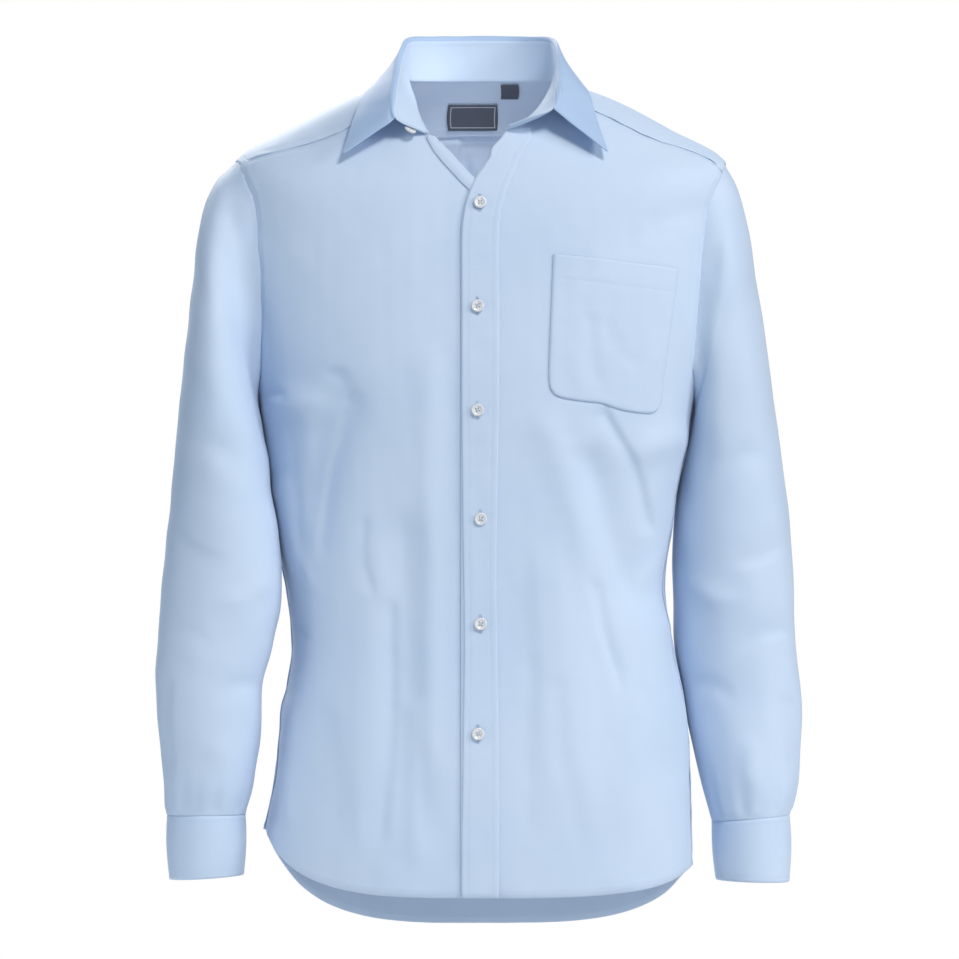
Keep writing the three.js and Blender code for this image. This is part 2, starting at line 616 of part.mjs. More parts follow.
// Collar band: it stands on the neckline, with its outer face on the seam.
const collarCurve = (key, first, last) => {
  const points = COLLAR.slice(first, last + 1).map((station) => new THREE.Vector3(...station[key]));
  const spline = new THREE.CatmullRomCurve3(points, false, 'centripetal');
  return (station) => spline.getPoint((station - first) / (last - first));
};
const LAST_STATION = COLLAR.length - 1;
const bandTop = collarCurve('top', 0, LAST_STATION);
const leafEdge = collarCurve('edge', COLLAR_LEAF_FIRST, COLLAR_LEAF_LAST);
const BAND_LIFT = 1.3;
const bandFoot = (station) => {
  const foot = onForm(neckAt(station), 0);
  return foot.addScaledVector(bandTop(station).sub(foot).normalize(), BAND_LIFT);
};
const BAND_BULGE = 1.5;
const bandGrid = (columns, rows, first, last) => grid(columns, rows, (u, v) => {
  const station = first + (last - first) * u;
  return bandFoot(station).lerp(bandTop(station), v);
});
const BAND_GRID = [45, 2];
const bandOuter = bandGrid(...BAND_GRID, 0, LAST_STATION);
const bandNormals = gridNormals(bandOuter, -1);
const bandMiddle = bandOuter.map((line, i) => line.map((point, j) => point.clone().addScaledVector(
  bandNormals[i][j], BAND_BULGE * Math.sin((Math.PI * j) / BAND_GRID[1]),
)));
const bandInner = offsetGrid(bandMiddle, bandNormals, -FUSED_CLOTH);
addPiece('collar_band', 'collar', wallGeometry(bandMiddle, bandInner));

// Collar leaf: it rises from the top of the band, rolls over and falls to its edge.
const LEAF_GRID = [36, 8];
const ROLL = { start: 0.7, rise: 2.9, top: 4.8, out: 3.4, fall: 3.2 };
const LEAF_BULGE = 2;
const leafProfile = (station) => {
  const top = bandTop(station);
  const foot = bandFoot(station);
  const step = 0.02;
  const round = bandTop(station + step).sub(bandTop(station - step)).normalize();
  const up = top.clone().sub(foot).normalize();
  const out = up.clone().cross(round).normalize();
  const edge = leafEdge(station);
  const fall = edge.clone().sub(top).normalize();
  const proud = round.clone().cross(fall).normalize();
  const at = (outward, upward) => top.clone().addScaledVector(out, outward).addScaledVector(up, upward);
  const along = (share, lift) => top.clone().lerp(edge, share).addScaledVector(proud, lift);
  return new THREE.CatmullRomCurve3([
    at(-FUSED_CLOTH, ROLL.start),
    at(-0.6 * FUSED_CLOTH, ROLL.rise),
    at(0.3 * ROLL.out, ROLL.top),
    along(0.1, ROLL.fall),
    along(0.35, LEAF_BULGE),
    along(0.7, 0.6 * LEAF_BULGE),
    edge,
  ], false, 'centripetal');
};
const leafOuter = grid(...LEAF_GRID, (u, v) => {
  const station = COLLAR_LEAF_FIRST + (COLLAR_LEAF_LAST - COLLAR_LEAF_FIRST) * u;
  return leafProfile(station).getPoint(v);
});
const leafNormals = gridNormals(leafOuter, 1);
addPiece('collar_leaf', 'collar', wallGeometry(leafOuter, offsetGrid(leafOuter, leafNormals, -FUSED_CLOTH)));

// Buttons: a dished disc with a raised rim
const BUTTON_PROFILE = [
  [0, 0], [BUTTON_RADIUS - BUTTON_ROUND, 0], [BUTTON_RADIUS, BUTTON_ROUND],
  [BUTTON_RADIUS, BUTTON_HEIGHT - BUTTON_ROUND],
  [BUTTON_RADIUS - BUTTON_RIM, BUTTON_HEIGHT], [BUTTON_RADIUS - 2 * BUTTON_RIM, BUTTON_HEIGHT - BUTTON_DISH],
  [0, BUTTON_HEIGHT - BUTTON_DISH],
].map(([radius, height]) => new THREE.Vector2(radius, height));
function addButton(name, point, normal) {
  const geometry = new THREE.LatheGeometry(BUTTON_PROFILE, BUTTON_SIDES);
  geometry.rotateX(Math.PI / 2);
  const mesh = addPiece(name, 'button', geometry);
  mesh.position.copy(point);
  mesh.quaternion.setFromUnitVectors(new THREE.Vector3(0, 0, 1), normal);
}

// Sleeves: the armhole loop, then the sections down to the cuff
const SECTION_SIDES = 24;
function sectionPoint(section, share) {
  const angle = 2 * Math.PI * share;
  const power = 2 / section.square;
  const across = 0.5 + 0.5 * signedPower(Math.cos(angle), power);
  const ahead = signedPower(Math.sin(angle), power);
  const [outer, inner] = [section.outer, section.inner];
  return new THREE.Vector3(
    inner[0] + (outer[0] - inner[0]) * across,
    section.middle - section.depth * ahead,
    inner[1] + (outer[1] - inner[1]) * across,
  );
}

// Armhole loop from the shoulder, down the front, round the underarm and up the back
const TOP_SHARE = 0.12;
const armholeLoop = (side) => joined(
  [(share) => side.overShoulder(0.5 - 0.5 * share), TOP_SHARE],
  [reversed(side.frontArmhole), 0.5 - TOP_SHARE],
  [side.backArmhole, 0.5 - TOP_SHARE],
  [(share) => side.overShoulder(1 - 0.5 * share), TOP_SHARE],
);

const SLEEVE_LIFT = 0.75;
function sleeveSurface(side, sections, cuffTop) {
  const loop = armholeLoop(side);
  const steps = [...sections, cuffTop];
  return (share, along) => {
    const controls = steps.map((section) => sectionPoint(section, share));
    const start = onForm(loop(share), SLEEVE_LIFT);
    const leave = controls[0].clone().sub(start).normalize();
    start.addScaledVector(leave, SLEEVE_LIFT);
    const spline = new THREE.CatmullRomCurve3([start, ...controls], false, 'centripetal');
    return spline.getPoint(along);
  };
}

const SLEEVE_ROWS = 21;
const CUFF_SIDES = 24;
const SLEEVE_END = 0.9994;
const CUFF_START = 0.002;
function addSleeve(name, side, sections, cuff) {
  const surface = sleeveSurface(side, sections, cuff.top);
  const turn = (u) => (side.sign > 0 ? 1 - u : u);
  const outer = grid(SECTION_SIDES, SLEEVE_ROWS, (u, v) => surface(turn(u), v * SLEEVE_END));
  const normals = gridNormals(outer, -1, true);
  addPiece(`sleeve_${name}`, 'cloth', wallGeometry(outer, offsetGrid(outer, normals, -CLOTH), true));
  addSleevePlacket(name, side, surface);
}

// Placket over the slit of a sleeve, from the cuff up the back of the forearm
function addSleevePlacket(name, side, surface) {
  const { halfWidth, length, lift, columns, rows, buttonRow } = SLEEVE_PLACKET;
  const foot = surface(OPENING_SHARE, SLEEVE_END);
  let top = SLEEVE_END;
  while (surface(OPENING_SHARE, top).distanceTo(foot) < length) top -= 0.002;
  const strip = grid(columns, rows, (u, v) => {
    const along = SLEEVE_END + (top - SLEEVE_END) * v;
    const step = 0.01;
    const middle = surface(OPENING_SHARE, along);
    const speed = surface(OPENING_SHARE + step, along).distanceTo(middle) / step;
    return surface(OPENING_SHARE + ((2 * u - 1) * side.sign * halfWidth) / speed, along);
  });
  const normals = gridNormals(strip, -1);
  const outer = offsetGrid(strip, normals, LAID_ON + lift);
  addPiece(`sleeve_placket_${name}`, 'cloth', wallGeometry(outer, offsetGrid(outer, normals, -TAPE)));
  const seat = LAID_ON + lift + SEAM_GAP;
  const normal = normals[1][buttonRow];
  addButton(`button_placket_${name}`, strip[1][buttonRow].clone().addScaledVector(normal, seat), normal);
}
addSleeve('left', SIDES.left, SLEEVE_LEFT, CUFF_LEFT);
addSleeve('right', SIDES.right, SLEEVE_RIGHT, CUFF_RIGHT);

// Cuffs: a strip whose end laps over its beginning
function addCuff(name, side, cuff) {
  const outer = grid(CUFF_SIDES, 2, (u, v) => {
    const turn = OPENING_SHARE - side.sign * (u * (1 + CUFF_LAP) - 0.5 * CUFF_LAP);
    const share = ((turn % 1) + 1) % 1;
    const down = CUFF_START + (1 - CUFF_START) * v;
    return sectionPoint(cuff.top, share).lerp(sectionPoint(cuff.bottom, share), down);
  });
  const normals = gridNormals(outer, -1);
  const under = outer.map((line, i) => line.map((point, j) => {
    const sunk = CUFF_LAP_STEP * (1 - smooth(CUFF_LAP, 2.2 * CUFF_LAP, i / CUFF_SIDES));
    return point.clone().addScaledVector(normals[i][j], -sunk);
  }));
  addPiece(`cuff_${name}`, 'collar', wallGeometry(under, offsetGrid(under, normals, -FUSED_CLOTH)));
  const last = CUFF_SIDES - 1;
  const normal = normals[last][1];
  addButton(`button_cuff_${name}`, outer[last][1].clone().addScaledVector(normal, SEAM_GAP), normal);
}
addCuff('left', SIDES.left, CUFF_LEFT);
addCuff('right', SIDES.right, CUFF_RIGHT);

// Buttons down the front and on the collar band
FRONT_BUTTONS.forEach((spot, index) => {
  const place = placeSeen([spot.x, spot.z]);
  const seat = LAID_ON + SEAM_GAP;
  addButton(`button_front_${index + 1}`, onForm(place, seat), formNormal(place.turn, place.level));
});

{
  const { station, up, probe } = BAND_BUTTON;
  const near = grid(2, 2, (u, v) => {
    const beside = station + probe * (2 * u - 1);
    return bandFoot(beside).lerp(bandTop(beside), up + probe * (2 * v - 1));
  });
  const normal = gridNormals(near, -1)[1][1];
  addButton('button_band', near[1][1].clone().addScaledVector(normal, BAND_BULGE + SEAM_GAP), normal);
}

// Neck label and size tab: bare plates inside the yoke
const TAG_CLEARANCE = 0.6;
const TAG_THICKNESS = 0.8;
function addTag(name, tag, size) {
  const corner = (x, z) => placeSeen([x, z], true);
  addOnForm(
    name, 'label',
    patch({
      bottom: straight(corner(tag.left, tag.low), corner(tag.right, tag.low)),
      top: straight(corner(tag.left, tag.high), corner(tag.right, tag.high)),
      start: straight(corner(tag.left, tag.low), corner(tag.left, tag.high)),
      end: straight(corner(tag.right, tag.low), corner(tag.right, tag.high)),
    }),
    size, () => -(CLOTH + TAG_CLEARANCE), TAG_THICKNESS,
  );
}
addTag('neck_label', NECK_LABEL, [4, 3]);
addTag('size_tab', SIZE_TAB, [2, 3]);

export default group;
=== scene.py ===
"""Long sleeve dress shirt, filled out as it is worn: cloth shells, sewing, buttons and a plain studio.

Sizes are in millimetres until a mesh is made. +Z is up, the front faces -Y and the wearer's left
is +X. The origin is the middle of the neck opening.
"""
import logging
import math
from collections.abc import Callable, Sequence
from dataclasses import dataclass, field, fields
from enum import Enum

import bpy
import numpy as np
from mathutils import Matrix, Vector


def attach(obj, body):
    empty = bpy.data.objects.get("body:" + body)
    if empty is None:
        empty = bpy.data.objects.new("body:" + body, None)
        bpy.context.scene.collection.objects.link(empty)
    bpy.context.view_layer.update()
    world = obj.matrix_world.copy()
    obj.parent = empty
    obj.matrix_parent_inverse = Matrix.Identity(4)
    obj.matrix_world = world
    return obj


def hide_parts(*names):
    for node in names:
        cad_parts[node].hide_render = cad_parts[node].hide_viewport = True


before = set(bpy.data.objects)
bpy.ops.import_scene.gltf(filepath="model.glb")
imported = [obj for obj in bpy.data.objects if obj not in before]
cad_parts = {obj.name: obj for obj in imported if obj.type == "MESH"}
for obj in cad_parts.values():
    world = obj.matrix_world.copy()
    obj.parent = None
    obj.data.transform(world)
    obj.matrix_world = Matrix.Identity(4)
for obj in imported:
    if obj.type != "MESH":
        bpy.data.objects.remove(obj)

logging.basicConfig(level=logging.INFO, format="%(message)s")
LOG = logging.getLogger("shirt")
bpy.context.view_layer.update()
MM = 0.001
ROOT = "root"

Array = np.ndarray
Course = Callable[[Array], Array]
Seen = tuple[float, float]

# Thicknesses and clearances of the cloth
CLOTH = 0.9
FUSED_CLOTH = 1.6
TAPE = 1.0
SEAM_GAP = 0.3
LAID_ON = SEAM_GAP + TAPE
THREAD_LIFT = 0.18
BUTTONHOLE_SINK = 0.25
BUTTONHOLE_LENGTH = 15.0

# Front closing and hem
PLACKET_LEFT = -17.4
PLACKET_RIGHT = 17.0
UNDER_FRONT_DEPTH = -1.6
UNDER_FRONT_FULL_X = -25.0
UNDER_FRONT_FREE_X = -70.0
FRONT_HEM_Z = -743.0
BACK_HEM_Z = -782.0
SIDE_HEM_Z = (-687.0, -720.0)
HEM_ROUND = 2.6
HEM_CORNER = 8.0
HEM_SHARE = 0.65
HEM_WIDTH = 6.0
UNDERARM_Z = -290.0
SHOULDER_LEVEL = 12.0

# How the panels share their edges
TURN_SCALE = 14.0
TURN_TUCK = 0.0022
LEVEL_TUCK = 0.035
PLACKET_TURN = 0.0008
PLACKET_LEVEL = -0.009
BODY_SHARE = 0.5
NECK_SHARE = 0.1
SHOULDER_SHARE = 0.2
TOP_SHARE = 0.12
HEIGHT_BLEND = 1.4


class Side(Enum):
    """The wearer's two sides: the sign of x and the word in the names of pieces."""

    LEFT = (1, "left")
    RIGHT = (-1, "right")

    @property
    def sign(self) -> int:
        """Sign of x on this side."""
        return self.value[0]

    @property
    def word(self) -> str:
        """Word for this side in the name of a piece."""
        return self.value[1]


class Edge(Enum):
    """The four edges of a grid of cloth."""

    START = "start"
    END = "end"
    BOTTOM = "bottom"
    TOP = "top"


@dataclass(frozen=True)
class Level:
    """One level of the body form: half widths, depths, heights and how square the section is."""

    left: float
    right: float
    front: float
    back: float
    z_front: float
    z_side: float
    z_back: float
    square: float


@dataclass(frozen=True)
class Fold:
    """A soft line of cloth from one point to another, seen from the front or from behind.

    A negative height is a trough. bow bends the line sideways, and lean makes one flank steeper.
    """

    start: Seen
    end: Seen
    width: float
    height: float
    bow: float = 0.0
    lean: float = 0.0


@dataclass(frozen=True)
class Station:
    """One station round the collar: neckline, top of the band and edge of the leaf."""

    neck: Seen
    top: tuple[float, float, float]
    edge: tuple[float, float, float] | None = None
    behind: bool = False


@dataclass(frozen=True)
class Section:
    """One section of a sleeve or cuff: outer and inner point, middle and half depth, squareness."""

    outer: Seen
    inner: Seen
    middle: float
    depth: float
    square: float = 2.1


LEVELS = (
    Level(197, 201, 124, 120, -800, -800, -800, 2.7),
    Level(196, 200, 123, 119, -700, -700, -700, 2.7),
    Level(195, 191, 122, 118, -640, -640, -640, 2.7),
    Level(192, 182.5, 119, 114, -580, -580, -580, 2.7),
    Level(180.5, 174, 116, 110, -520, -520, -520, 2.7),
    Level(171, 180, 115, 108, -460, -460, -460, 2.7),
    Level(177, 192, 116, 110, -400, -400, -400, 2.7),
    Level(189, 200, 117, 114, -340, -340, -340, 2.7),
    Level(200, 206, 118, 118, -285, -285, -285, 2.7),
    Level(213, 214, 116, 120, -230, -230, -225, 2.7),
    Level(222, 222, 111, 119, -175, -170, -168, 2.7),
    Level(227, 227, 104, 115, -130, -114, -118, 2.7),
    Level(228, 227, 96, 106, -98, -68, -78, 2.6),
    Level(178, 178, 87, 95, -76, -38, -40, 2.5),
    Level(122, 120, 79, 80, -59, -9, -10, 2.3),
    Level(68, 67, 72, 62, -45, 9, 11.5, 2.2),
)

# Lines drawn on the form, as seen from the front or from behind (x, z)
FRONT_EDGE_LEFT = ((PLACKET_LEFT, UNDERARM_Z), (PLACKET_LEFT, -200), (PLACKET_LEFT, -135),
                   (-12.8, -106), (0, -78), (8.2, -67), (13, -55), (24, -41))
PLACKET_SEAM = ((PLACKET_RIGHT, UNDERARM_Z), (PLACKET_RIGHT, -200), (PLACKET_RIGHT, -140),
                (20, -112), (29, -85), (38, -62), (46, -38))
FRONT_EDGE_RIGHT = ((PLACKET_RIGHT, UNDERARM_Z), (PLACKET_RIGHT, -200), (PLACKET_RIGHT, -150),
                    (12, -120), (3, -98), (-5.7, -84.7), (-19.8, -69.6), (-30, -58), (-40, -48),
                    (-47.6, -44))
TURNED_EDGE_INNER = ((3, -98), (-5.7, -84.7), (-19.8, -69.6), (-30, -58), (-40, -48), (-46.5, -45))
TURNED_EDGE_OUTER = ((-3, -103), (-14, -92.4), (-27.5, -78), (-38, -66), (-45.5, -55), (-49, -48))
YOKE_SEAM = {
    Side.LEFT: ((224, -78), (199, -60), (150, -43), (103, -20), (62.5, -7.3)),
    Side.RIGHT: ((-221, -70), (-177, -57), (-133, -43), (-86, -17), (-62, -7.3)),
}
YOKE_SEAM_BACK = ((-216, -92), (-180, -76), (-120, -56), (-60, -43), (0, -38),
                  (60, -43), (120, -56), (180, -76), (216, -94))
ARMHOLE_FRONT = {
    Side.LEFT: ((224, -78), (214, -101), (206, -147), (202, -190), (199.5, -225), (196.5, -262)),
    Side.RIGHT: ((-221, -70), (-211, -98), (-204, -147), (-201.5, -190), (-201.5, -235),
                 (-202.5, -265)),
}
ARMHOLE_BACK = {
    Side.LEFT: ((216, -94), (209, -130), (205, -180), (203, -225), (199, -262)),
    Side.RIGHT: ((-216, -92), (-208, -130), (-205, -180), (-204, -225), (-204, -262)),
}

# Heights above the form mean its top level, the neck ring.
NECK_TOP = 20.0
STATIONS = (
    Station((-47.6, -44), (-51, -71, -42)),
    Station((-51, -38), (-78, -80, -31), (-126, -84, -62.5)),
    Station((-56.5, -26), (-78.5, -61, -9), (-117.5, -61, -33)),
    Station((-62, -7.3), (-76, -34, 13), (-108, -27, -6)),
    Station((-66.5, NECK_TOP), (-71.5, 2, 36), (-98.5, 12, 2.5), True),
    Station((-61.5, NECK_TOP), (-65.5, 30, 46.5), (-86, 52, 0), True),
    Station((-37, NECK_TOP), (-41, 54, 49), (-50, 80, 1), True),
    Station((0, NECK_TOP), (0, 61, 50), (0, 88, 1), True),
    Station((37, NECK_TOP), (41, 54, 49), (50, 80, 1), True),
    Station((61.5, NECK_TOP), (65, 30, 46.5), (83, 52, 0), True),
    Station((66.5, NECK_TOP), (71, 0, 36), (96, 12, 4), True),
    Station((62.5, -7.3), (72, -34, 14), (102, -29, -7.5)),
    Station((54, -20.5), (70.5, -60, -5), (109, -56, -34)),
    Station((45, -29.5), (67.5, -79, -22), (117, -83, -60)),
    Station((34, -37), (46, -83, -30.5)),
    Station((24, -41), (27, -76, -37)),
)
LAST_STATION = len(STATIONS) - 1
LEAF_FIRST = 1
LEAF_LAST = 13
YOKE_NECK = {Side.RIGHT: 3, Side.LEFT: 11}

SLEEVE_SECTIONS = {
    Side.LEFT: (
        Section((238, -89), (198.5, -301), 3, 70, 2.2),
        Section((248, -124), (196.5, -310), 8, 74, 2.2),
        Section((258, -183), (194, -322), 14, 77),
        Section((268.5, -250), (190, -340), 22, 77),
        Section((279.5, -328), (185, -370), 29, 74),
        Section((289.5, -400), (180, -412), 30, 68),
        Section((293.5, -466), (180, -466), 31, 61),
        Section((295.5, -515), (181.5, -512), 34, 57),
        Section((300, -558), (187.5, -553), 35, 54),
        Section((300.5, -598), (194.5, -594), 31, 51),
        Section((296, -644), (206, -641), 22, 47),
    ),
    Side.RIGHT: (
        Section((-244.5, -84), (-203.5, -301), -6, 70, 2.2),
        Section((-258, -118), (-201, -310), -15, 74, 2.2),
        Section((-265.5, -176), (-198.5, -322), -30, 77),
        Section((-272.5, -250), (-195, -340), -44, 77),
        Section((-280.5, -325), (-193, -370), -51, 74),
        Section((-286.5, -400), (-186, -412), -54, 68),
        Section((-293.5, -462), (-182.5, -464), -55, 61),
        Section((-297.5, -512), (-190, -510), -54, 56),
        Section((-299.5, -552), (-200.5, -550), -51, 53),
        Section((-296.5, -598), (-202, -594), -46, 50),
        Section((-291.5, -644), (-209, -642), -40, 46),
    ),
}
CUFF_SECTIONS = {
    Side.LEFT: (
        Section((289, -674), (216, -680), 17, 39.5),
        Section((288.5, -736), (219.5, -734), 13, 38.5),
    ),
    Side.RIGHT: (
        Section((-290, -671), (-216.5, -671), -36, 39.5),
        Section((-288, -731), (-218.5, -727), -33, 38.5),
    ),
}

FRONT_FOLDS = (
    Fold((-128, -268), (-172, -425), 26, -9),
    Fold((-196, -288), (-120, -300), 15, 6),
    Fold((-70, -390), (-62, -690), 20, -5),
    Fold((-38, -240), (-40, -640), 18, 4),
    Fold((108, -330), (160, -500), 24, -7),
    Fold((60, -420), (95, -700), 26, 4),
    Fold((196, -318), (128, -345), 14, 4),
    Fold((-107, -395), (-99, -470), 6, -1.3, 4, 0.4),
    Fold((-171, -489), (-158, -512), 5, -2.0),
    Fold((-190, -140), (-160, -175), 16, 1.6),
    Fold((112, -296), (162, -414), 6, -3.4, -7, 0.5),
    Fold((100, -450), (130, -548), 6, -1.4, 3, -0.4),
    Fold((205, -108), (112, -165), 14, -1.8, 6),
    Fold((-150, -560), (-128, -700), 15, -2.2, -5, 0.3),
    Fold((-178, -560), (-176, -690), 10, 2.4, 4),
    Fold((150, -560), (136, -700), 16, 2.0, 5),
    Fold((176, -500), (182, -650), 11, -2.2, -3, 0.3),
    Fold((-186, -360), (-150, -470), 9, 2.0, 7, 0.4),
    Fold((182, -380), (150, -470), 9, 1.8, -6, -0.4),
    Fold((48, -520), (44, -690), 8, -1.0, 3),
    Fold((-117, -280), (-148, -440), 8, -3.2, 7, -0.5),
    Fold((-143, -262), (-118, -279), 7, -2.6, -4),
    Fold((-158, -300), (-162, -420), 9, 2.0, 5),
    Fold((-200, -281), (-170, -290), 6, -2.4, -2),
    Fold((96, -330), (150, -490), 13, -3.6, 4),
    Fold((54, -298), (104, -455), 15, 3.0, -4),
    Fold((-84, -470), (-92, -700), 10, -2.6, -4, 0.4),
    Fold((-60, -560), (-56, -720), 9, 2.0, 3),
    Fold((108, -455), (130, -560), 6, -1.6, 2),
    Fold((-192, -500), (-186, -690), 8, -2.6, 3),
    Fold((70, -540), (92, -700), 10, -1.8, 4),
)
BACK_FOLDS = (
    Fold((-150, -300), (-90, -560), 26, -6),
    Fold((150, -300), (95, -560), 26, -6),
    Fold((0, -330), (10, -700), 30, 4),
    Fold((-196, -300), (-120, -330), 13, 3.5, -6),
    Fold((196, -305), (118, -322), 13, 3.0, 6),
    Fold((-176, -420), (-130, -520), 9, 2.2, 7, 0.4),
    Fold((172, -410), (140, -500), 9, 2.0, -6, -0.4),
    Fold((-60, -480), (-70, -700), 12, -1.8, 6, 0.3),
    Fold((70, -470), (58, -690), 13, -2.0, -6, -0.3),
    Fold((120, -600), (136, -720), 14, 2.2, 4),
    Fold((-128, -590), (-120, -730), 15, 2.0, -4),
    Fold((-40, -150), (-90, -230), 14, -1.4, 6),
    Fold((44, -160), (86, -250), 14, -1.3, -6),
    Fold((186, -150), (130, -220), 12, 1.5, 5),
    Fold((-188, -150), (-128, -215), 12, 1.5, -5),
    Fold((-14, -56), (-6, -108), 5, 2.0, -1),
    Fold((-7, -60), (-1, -100), 4, -1.6),
    Fold((9, -50), (4, -104), 5, 1.2, 1),
)
FLAT_MIDDLE = 27.0
FRONT_MAIN_FOLDS = 7

SLEEVE_FOLDS = {
    Side.LEFT: (
        Fold((262, -330), (215, -372), 13, -2.4, 5),
        Fold((284, -420), (226, -438), 11, -2.2, -5, 0.4),
        Fold((188, -452), (246, -478), 10, 2.2, 6),
        Fold((292, -500), (236, -522), 9, -2.0, 6, 0.3),
        Fold((198, -548), (240, -572), 9, -1.8, -5),
        Fold((288, -560), (292, -640), 9, -2.6, -4, 0.4),
        Fold((250, -600), (262, -664), 10, 1.8, 4),
        Fold((232, -110), (214, -190), 10, -1.6, 5),
        Fold((258, -190), (236, -300), 16, 1.4, -6),
    ),
    Side.RIGHT: (
        Fold((-256, -320), (-212, -366), 13, -2.2, -5),
        Fold((-282, -415), (-226, -440), 11, -2.2, 5, 0.4),
        Fold((-192, -455), (-244, -476), 10, 2.0, -6),
        Fold((-290, -498), (-238, -520), 9, -1.0, -6, 0.3),
        Fold((-204, -546), (-244, -568), 9, -1.8, 5),
        Fold((-288, -540), (-284, -640), 9, -2.0, 4, 0.4),
        Fold((-236, -600), (-252, -662), 10, 1.8, -4),
        Fold((-230, -110), (-216, -190), 10, -1.6, -5),
        Fold((-252, -190), (-236, -300), 16, 1.4, 6),
    ),
}


def signed_power(value: Array, power: Array) -> Array:
    """Value raised to a power, keeping its sign."""
    return np.sign(value) * np.abs(value) ** power


def smooth(low: float, high: float, value: Array) -> Array:
    """Soft step from 0 at low to 1 at high."""
    share = np.clip((value - low) / (high - low), 0.0, 1.0)
    return share * share * (3 - 2 * share)


def unit(vectors: Array) -> Array:
    """Vectors at length one."""
    return vectors / np.maximum(np.linalg.norm(vectors, axis=-1, keepdims=True), 1e-12)


def spline(rows: Array, place: Array) -> Array:
    """Catmull-Rom curve through the rows of a table.

    Args:
        rows: one row for each point, with any number of columns.
        place: where on the curve, counted in rows.

    Returns:
        A row of values for each place.
    """
    last = len(rows) - 1
    row = np.clip(np.floor(place).astype(int), 0, last - 1)
    t = (place - row)[..., None]
    a, b, c, d = (rows[np.clip(row + step, 0, last)] for step in (-1, 0, 1, 2))
    return b + 0.5 * t * (c - a + t * (2 * a - 5 * b + 4 * c - d + t * (3 * (b - c) + d - a)))


def even_spline(points: Array, shares: Array) -> Array:
    """Smooth curves through rows of control points, spaced by the root of their distances.

    Args:
        points: control points of several curves, as (control, curve, 3).
        shares: places from 0 to 1 along the curves.

    Returns:
        Points as (curve, place, 3).
    """
    last = len(points) - 1
    place = np.clip(shares, 0.0, 1.0) * last
    row = np.clip(np.floor(place).astype(int), 0, last - 1)
    padded = np.concatenate([2 * points[:1] - points[1:2], points, 2 * points[-1:] - points[-2:-1]])
    p0, p1, p2, p3 = (padded[row + step].swapaxes(0, 1) for step in range(4))
    pairs = ((p0, p1), (p1, p2), (p2, p3))
    gaps = [np.sqrt(np.linalg.norm(b - a, axis=-1, keepdims=True)) for a, b in pairs]
    near = 1e-4
    middle = np.where(gaps[1] < near, 1.0, gaps[1])
    first = np.where(gaps[0] < near, middle, gaps[0])
    third = np.where(gaps[2] < near, middle, gaps[2])
    leave = ((p1 - p0) / first - (p2 - p0) / (first + middle) + (p2 - p1) / middle) * middle
    arrive = ((p2 - p1) / middle - (p3 - p1) / (middle + third) + (p3 - p2) / third) * middle
    t = (place - row)[None, :, None]
    square = -3 * p1 + 3 * p2 - 2 * leave - arrive
    cube = 2 * p1 - 2 * p2 + leave + arrive
    return p1 + t * (leave + t * (square + t * cube))


def course_through(places: Array) -> Course:
    """Smooth course through places on the form, with even steps.

    Args:
        places: rows of (turn, level).

    Returns:
        A function from shares of the length to places.
    """
    scale = np.array([TURN_SCALE, 1.0])
    rows = np.asarray(places, float) * scale
    marks = np.linspace(0.0, 1.0, 201)
    trail = spline(rows, marks * (len(rows) - 1))
    lengths = np.concatenate([[0.0], np.cumsum(np.linalg.norm(np.diff(trail, axis=0), axis=1))])

    def course(shares: Array) -> Array:
        """Places at shares of the length."""
        mark = np.interp(np.clip(shares, 0.0, 1.0) * lengths[-1], lengths, marks)
        return spline(rows, mark * (len(rows) - 1)) / scale

    return course


def joined(*pieces: tuple[Course, float]) -> Course:
    """Several courses end to end, each with its share of the whole."""
    def course(shares: Array) -> Array:
        """Places at shares of the whole."""
        shares = np.asarray(shares, float)
        result = np.zeros(shares.shape + (2,))
        start = 0.0
        for index, (piece, length) in enumerate(pieces):
            inside = shares >= start - 1e-9 if index else np.ones(shares.shape, bool)
            result[inside] = piece(np.clip((shares[inside] - start) / length, 0.0, 1.0))
            start += length
        return result

    return course


def backwards(piece: Course) -> Course:
    """The same course from its end to its start."""
    return lambda shares: piece(1 - np.asarray(shares, float))


def shifted(piece: Course, turn: float, level: float) -> Course:
    """The same course moved by a turn and a level."""
    return lambda shares: piece(shares) + np.array([turn, level])


def straight(a: Array, b: Array) -> Course:
    """Straight course between two places."""
    return lambda shares: a + (b - a) * np.asarray(shares, float)[..., None]


def patch(bottom: Course, top: Course, start: Course, end: Course, u: Array, v: Array) -> Array:
    """Places between four courses.

    Args:
        bottom: course at v = 0.
        top: course at v = 1.
        start: course at u = 0.
        end: course at u = 1.
        u: shares across.
        v: shares along.

    Returns:
        Places as (u, v, 2).
    """
    low, high, left, right = bottom(u)[:, None], top(u)[:, None], start(v)[None], end(v)[None]
    ends = np.array([0.0, 1.0])
    corner_low, corner_high = bottom(ends), top(ends)
    across = u[:, None, None]
    along = v[None, :, None]
    corners = ((1 - across) * (1 - along) * corner_low[0] + across * (1 - along) * corner_low[1]
               + (1 - across) * along * corner_high[0] + across * along * corner_high[1])
    return (1 - along) * low + along * high + (1 - across) * left + across * right - corners


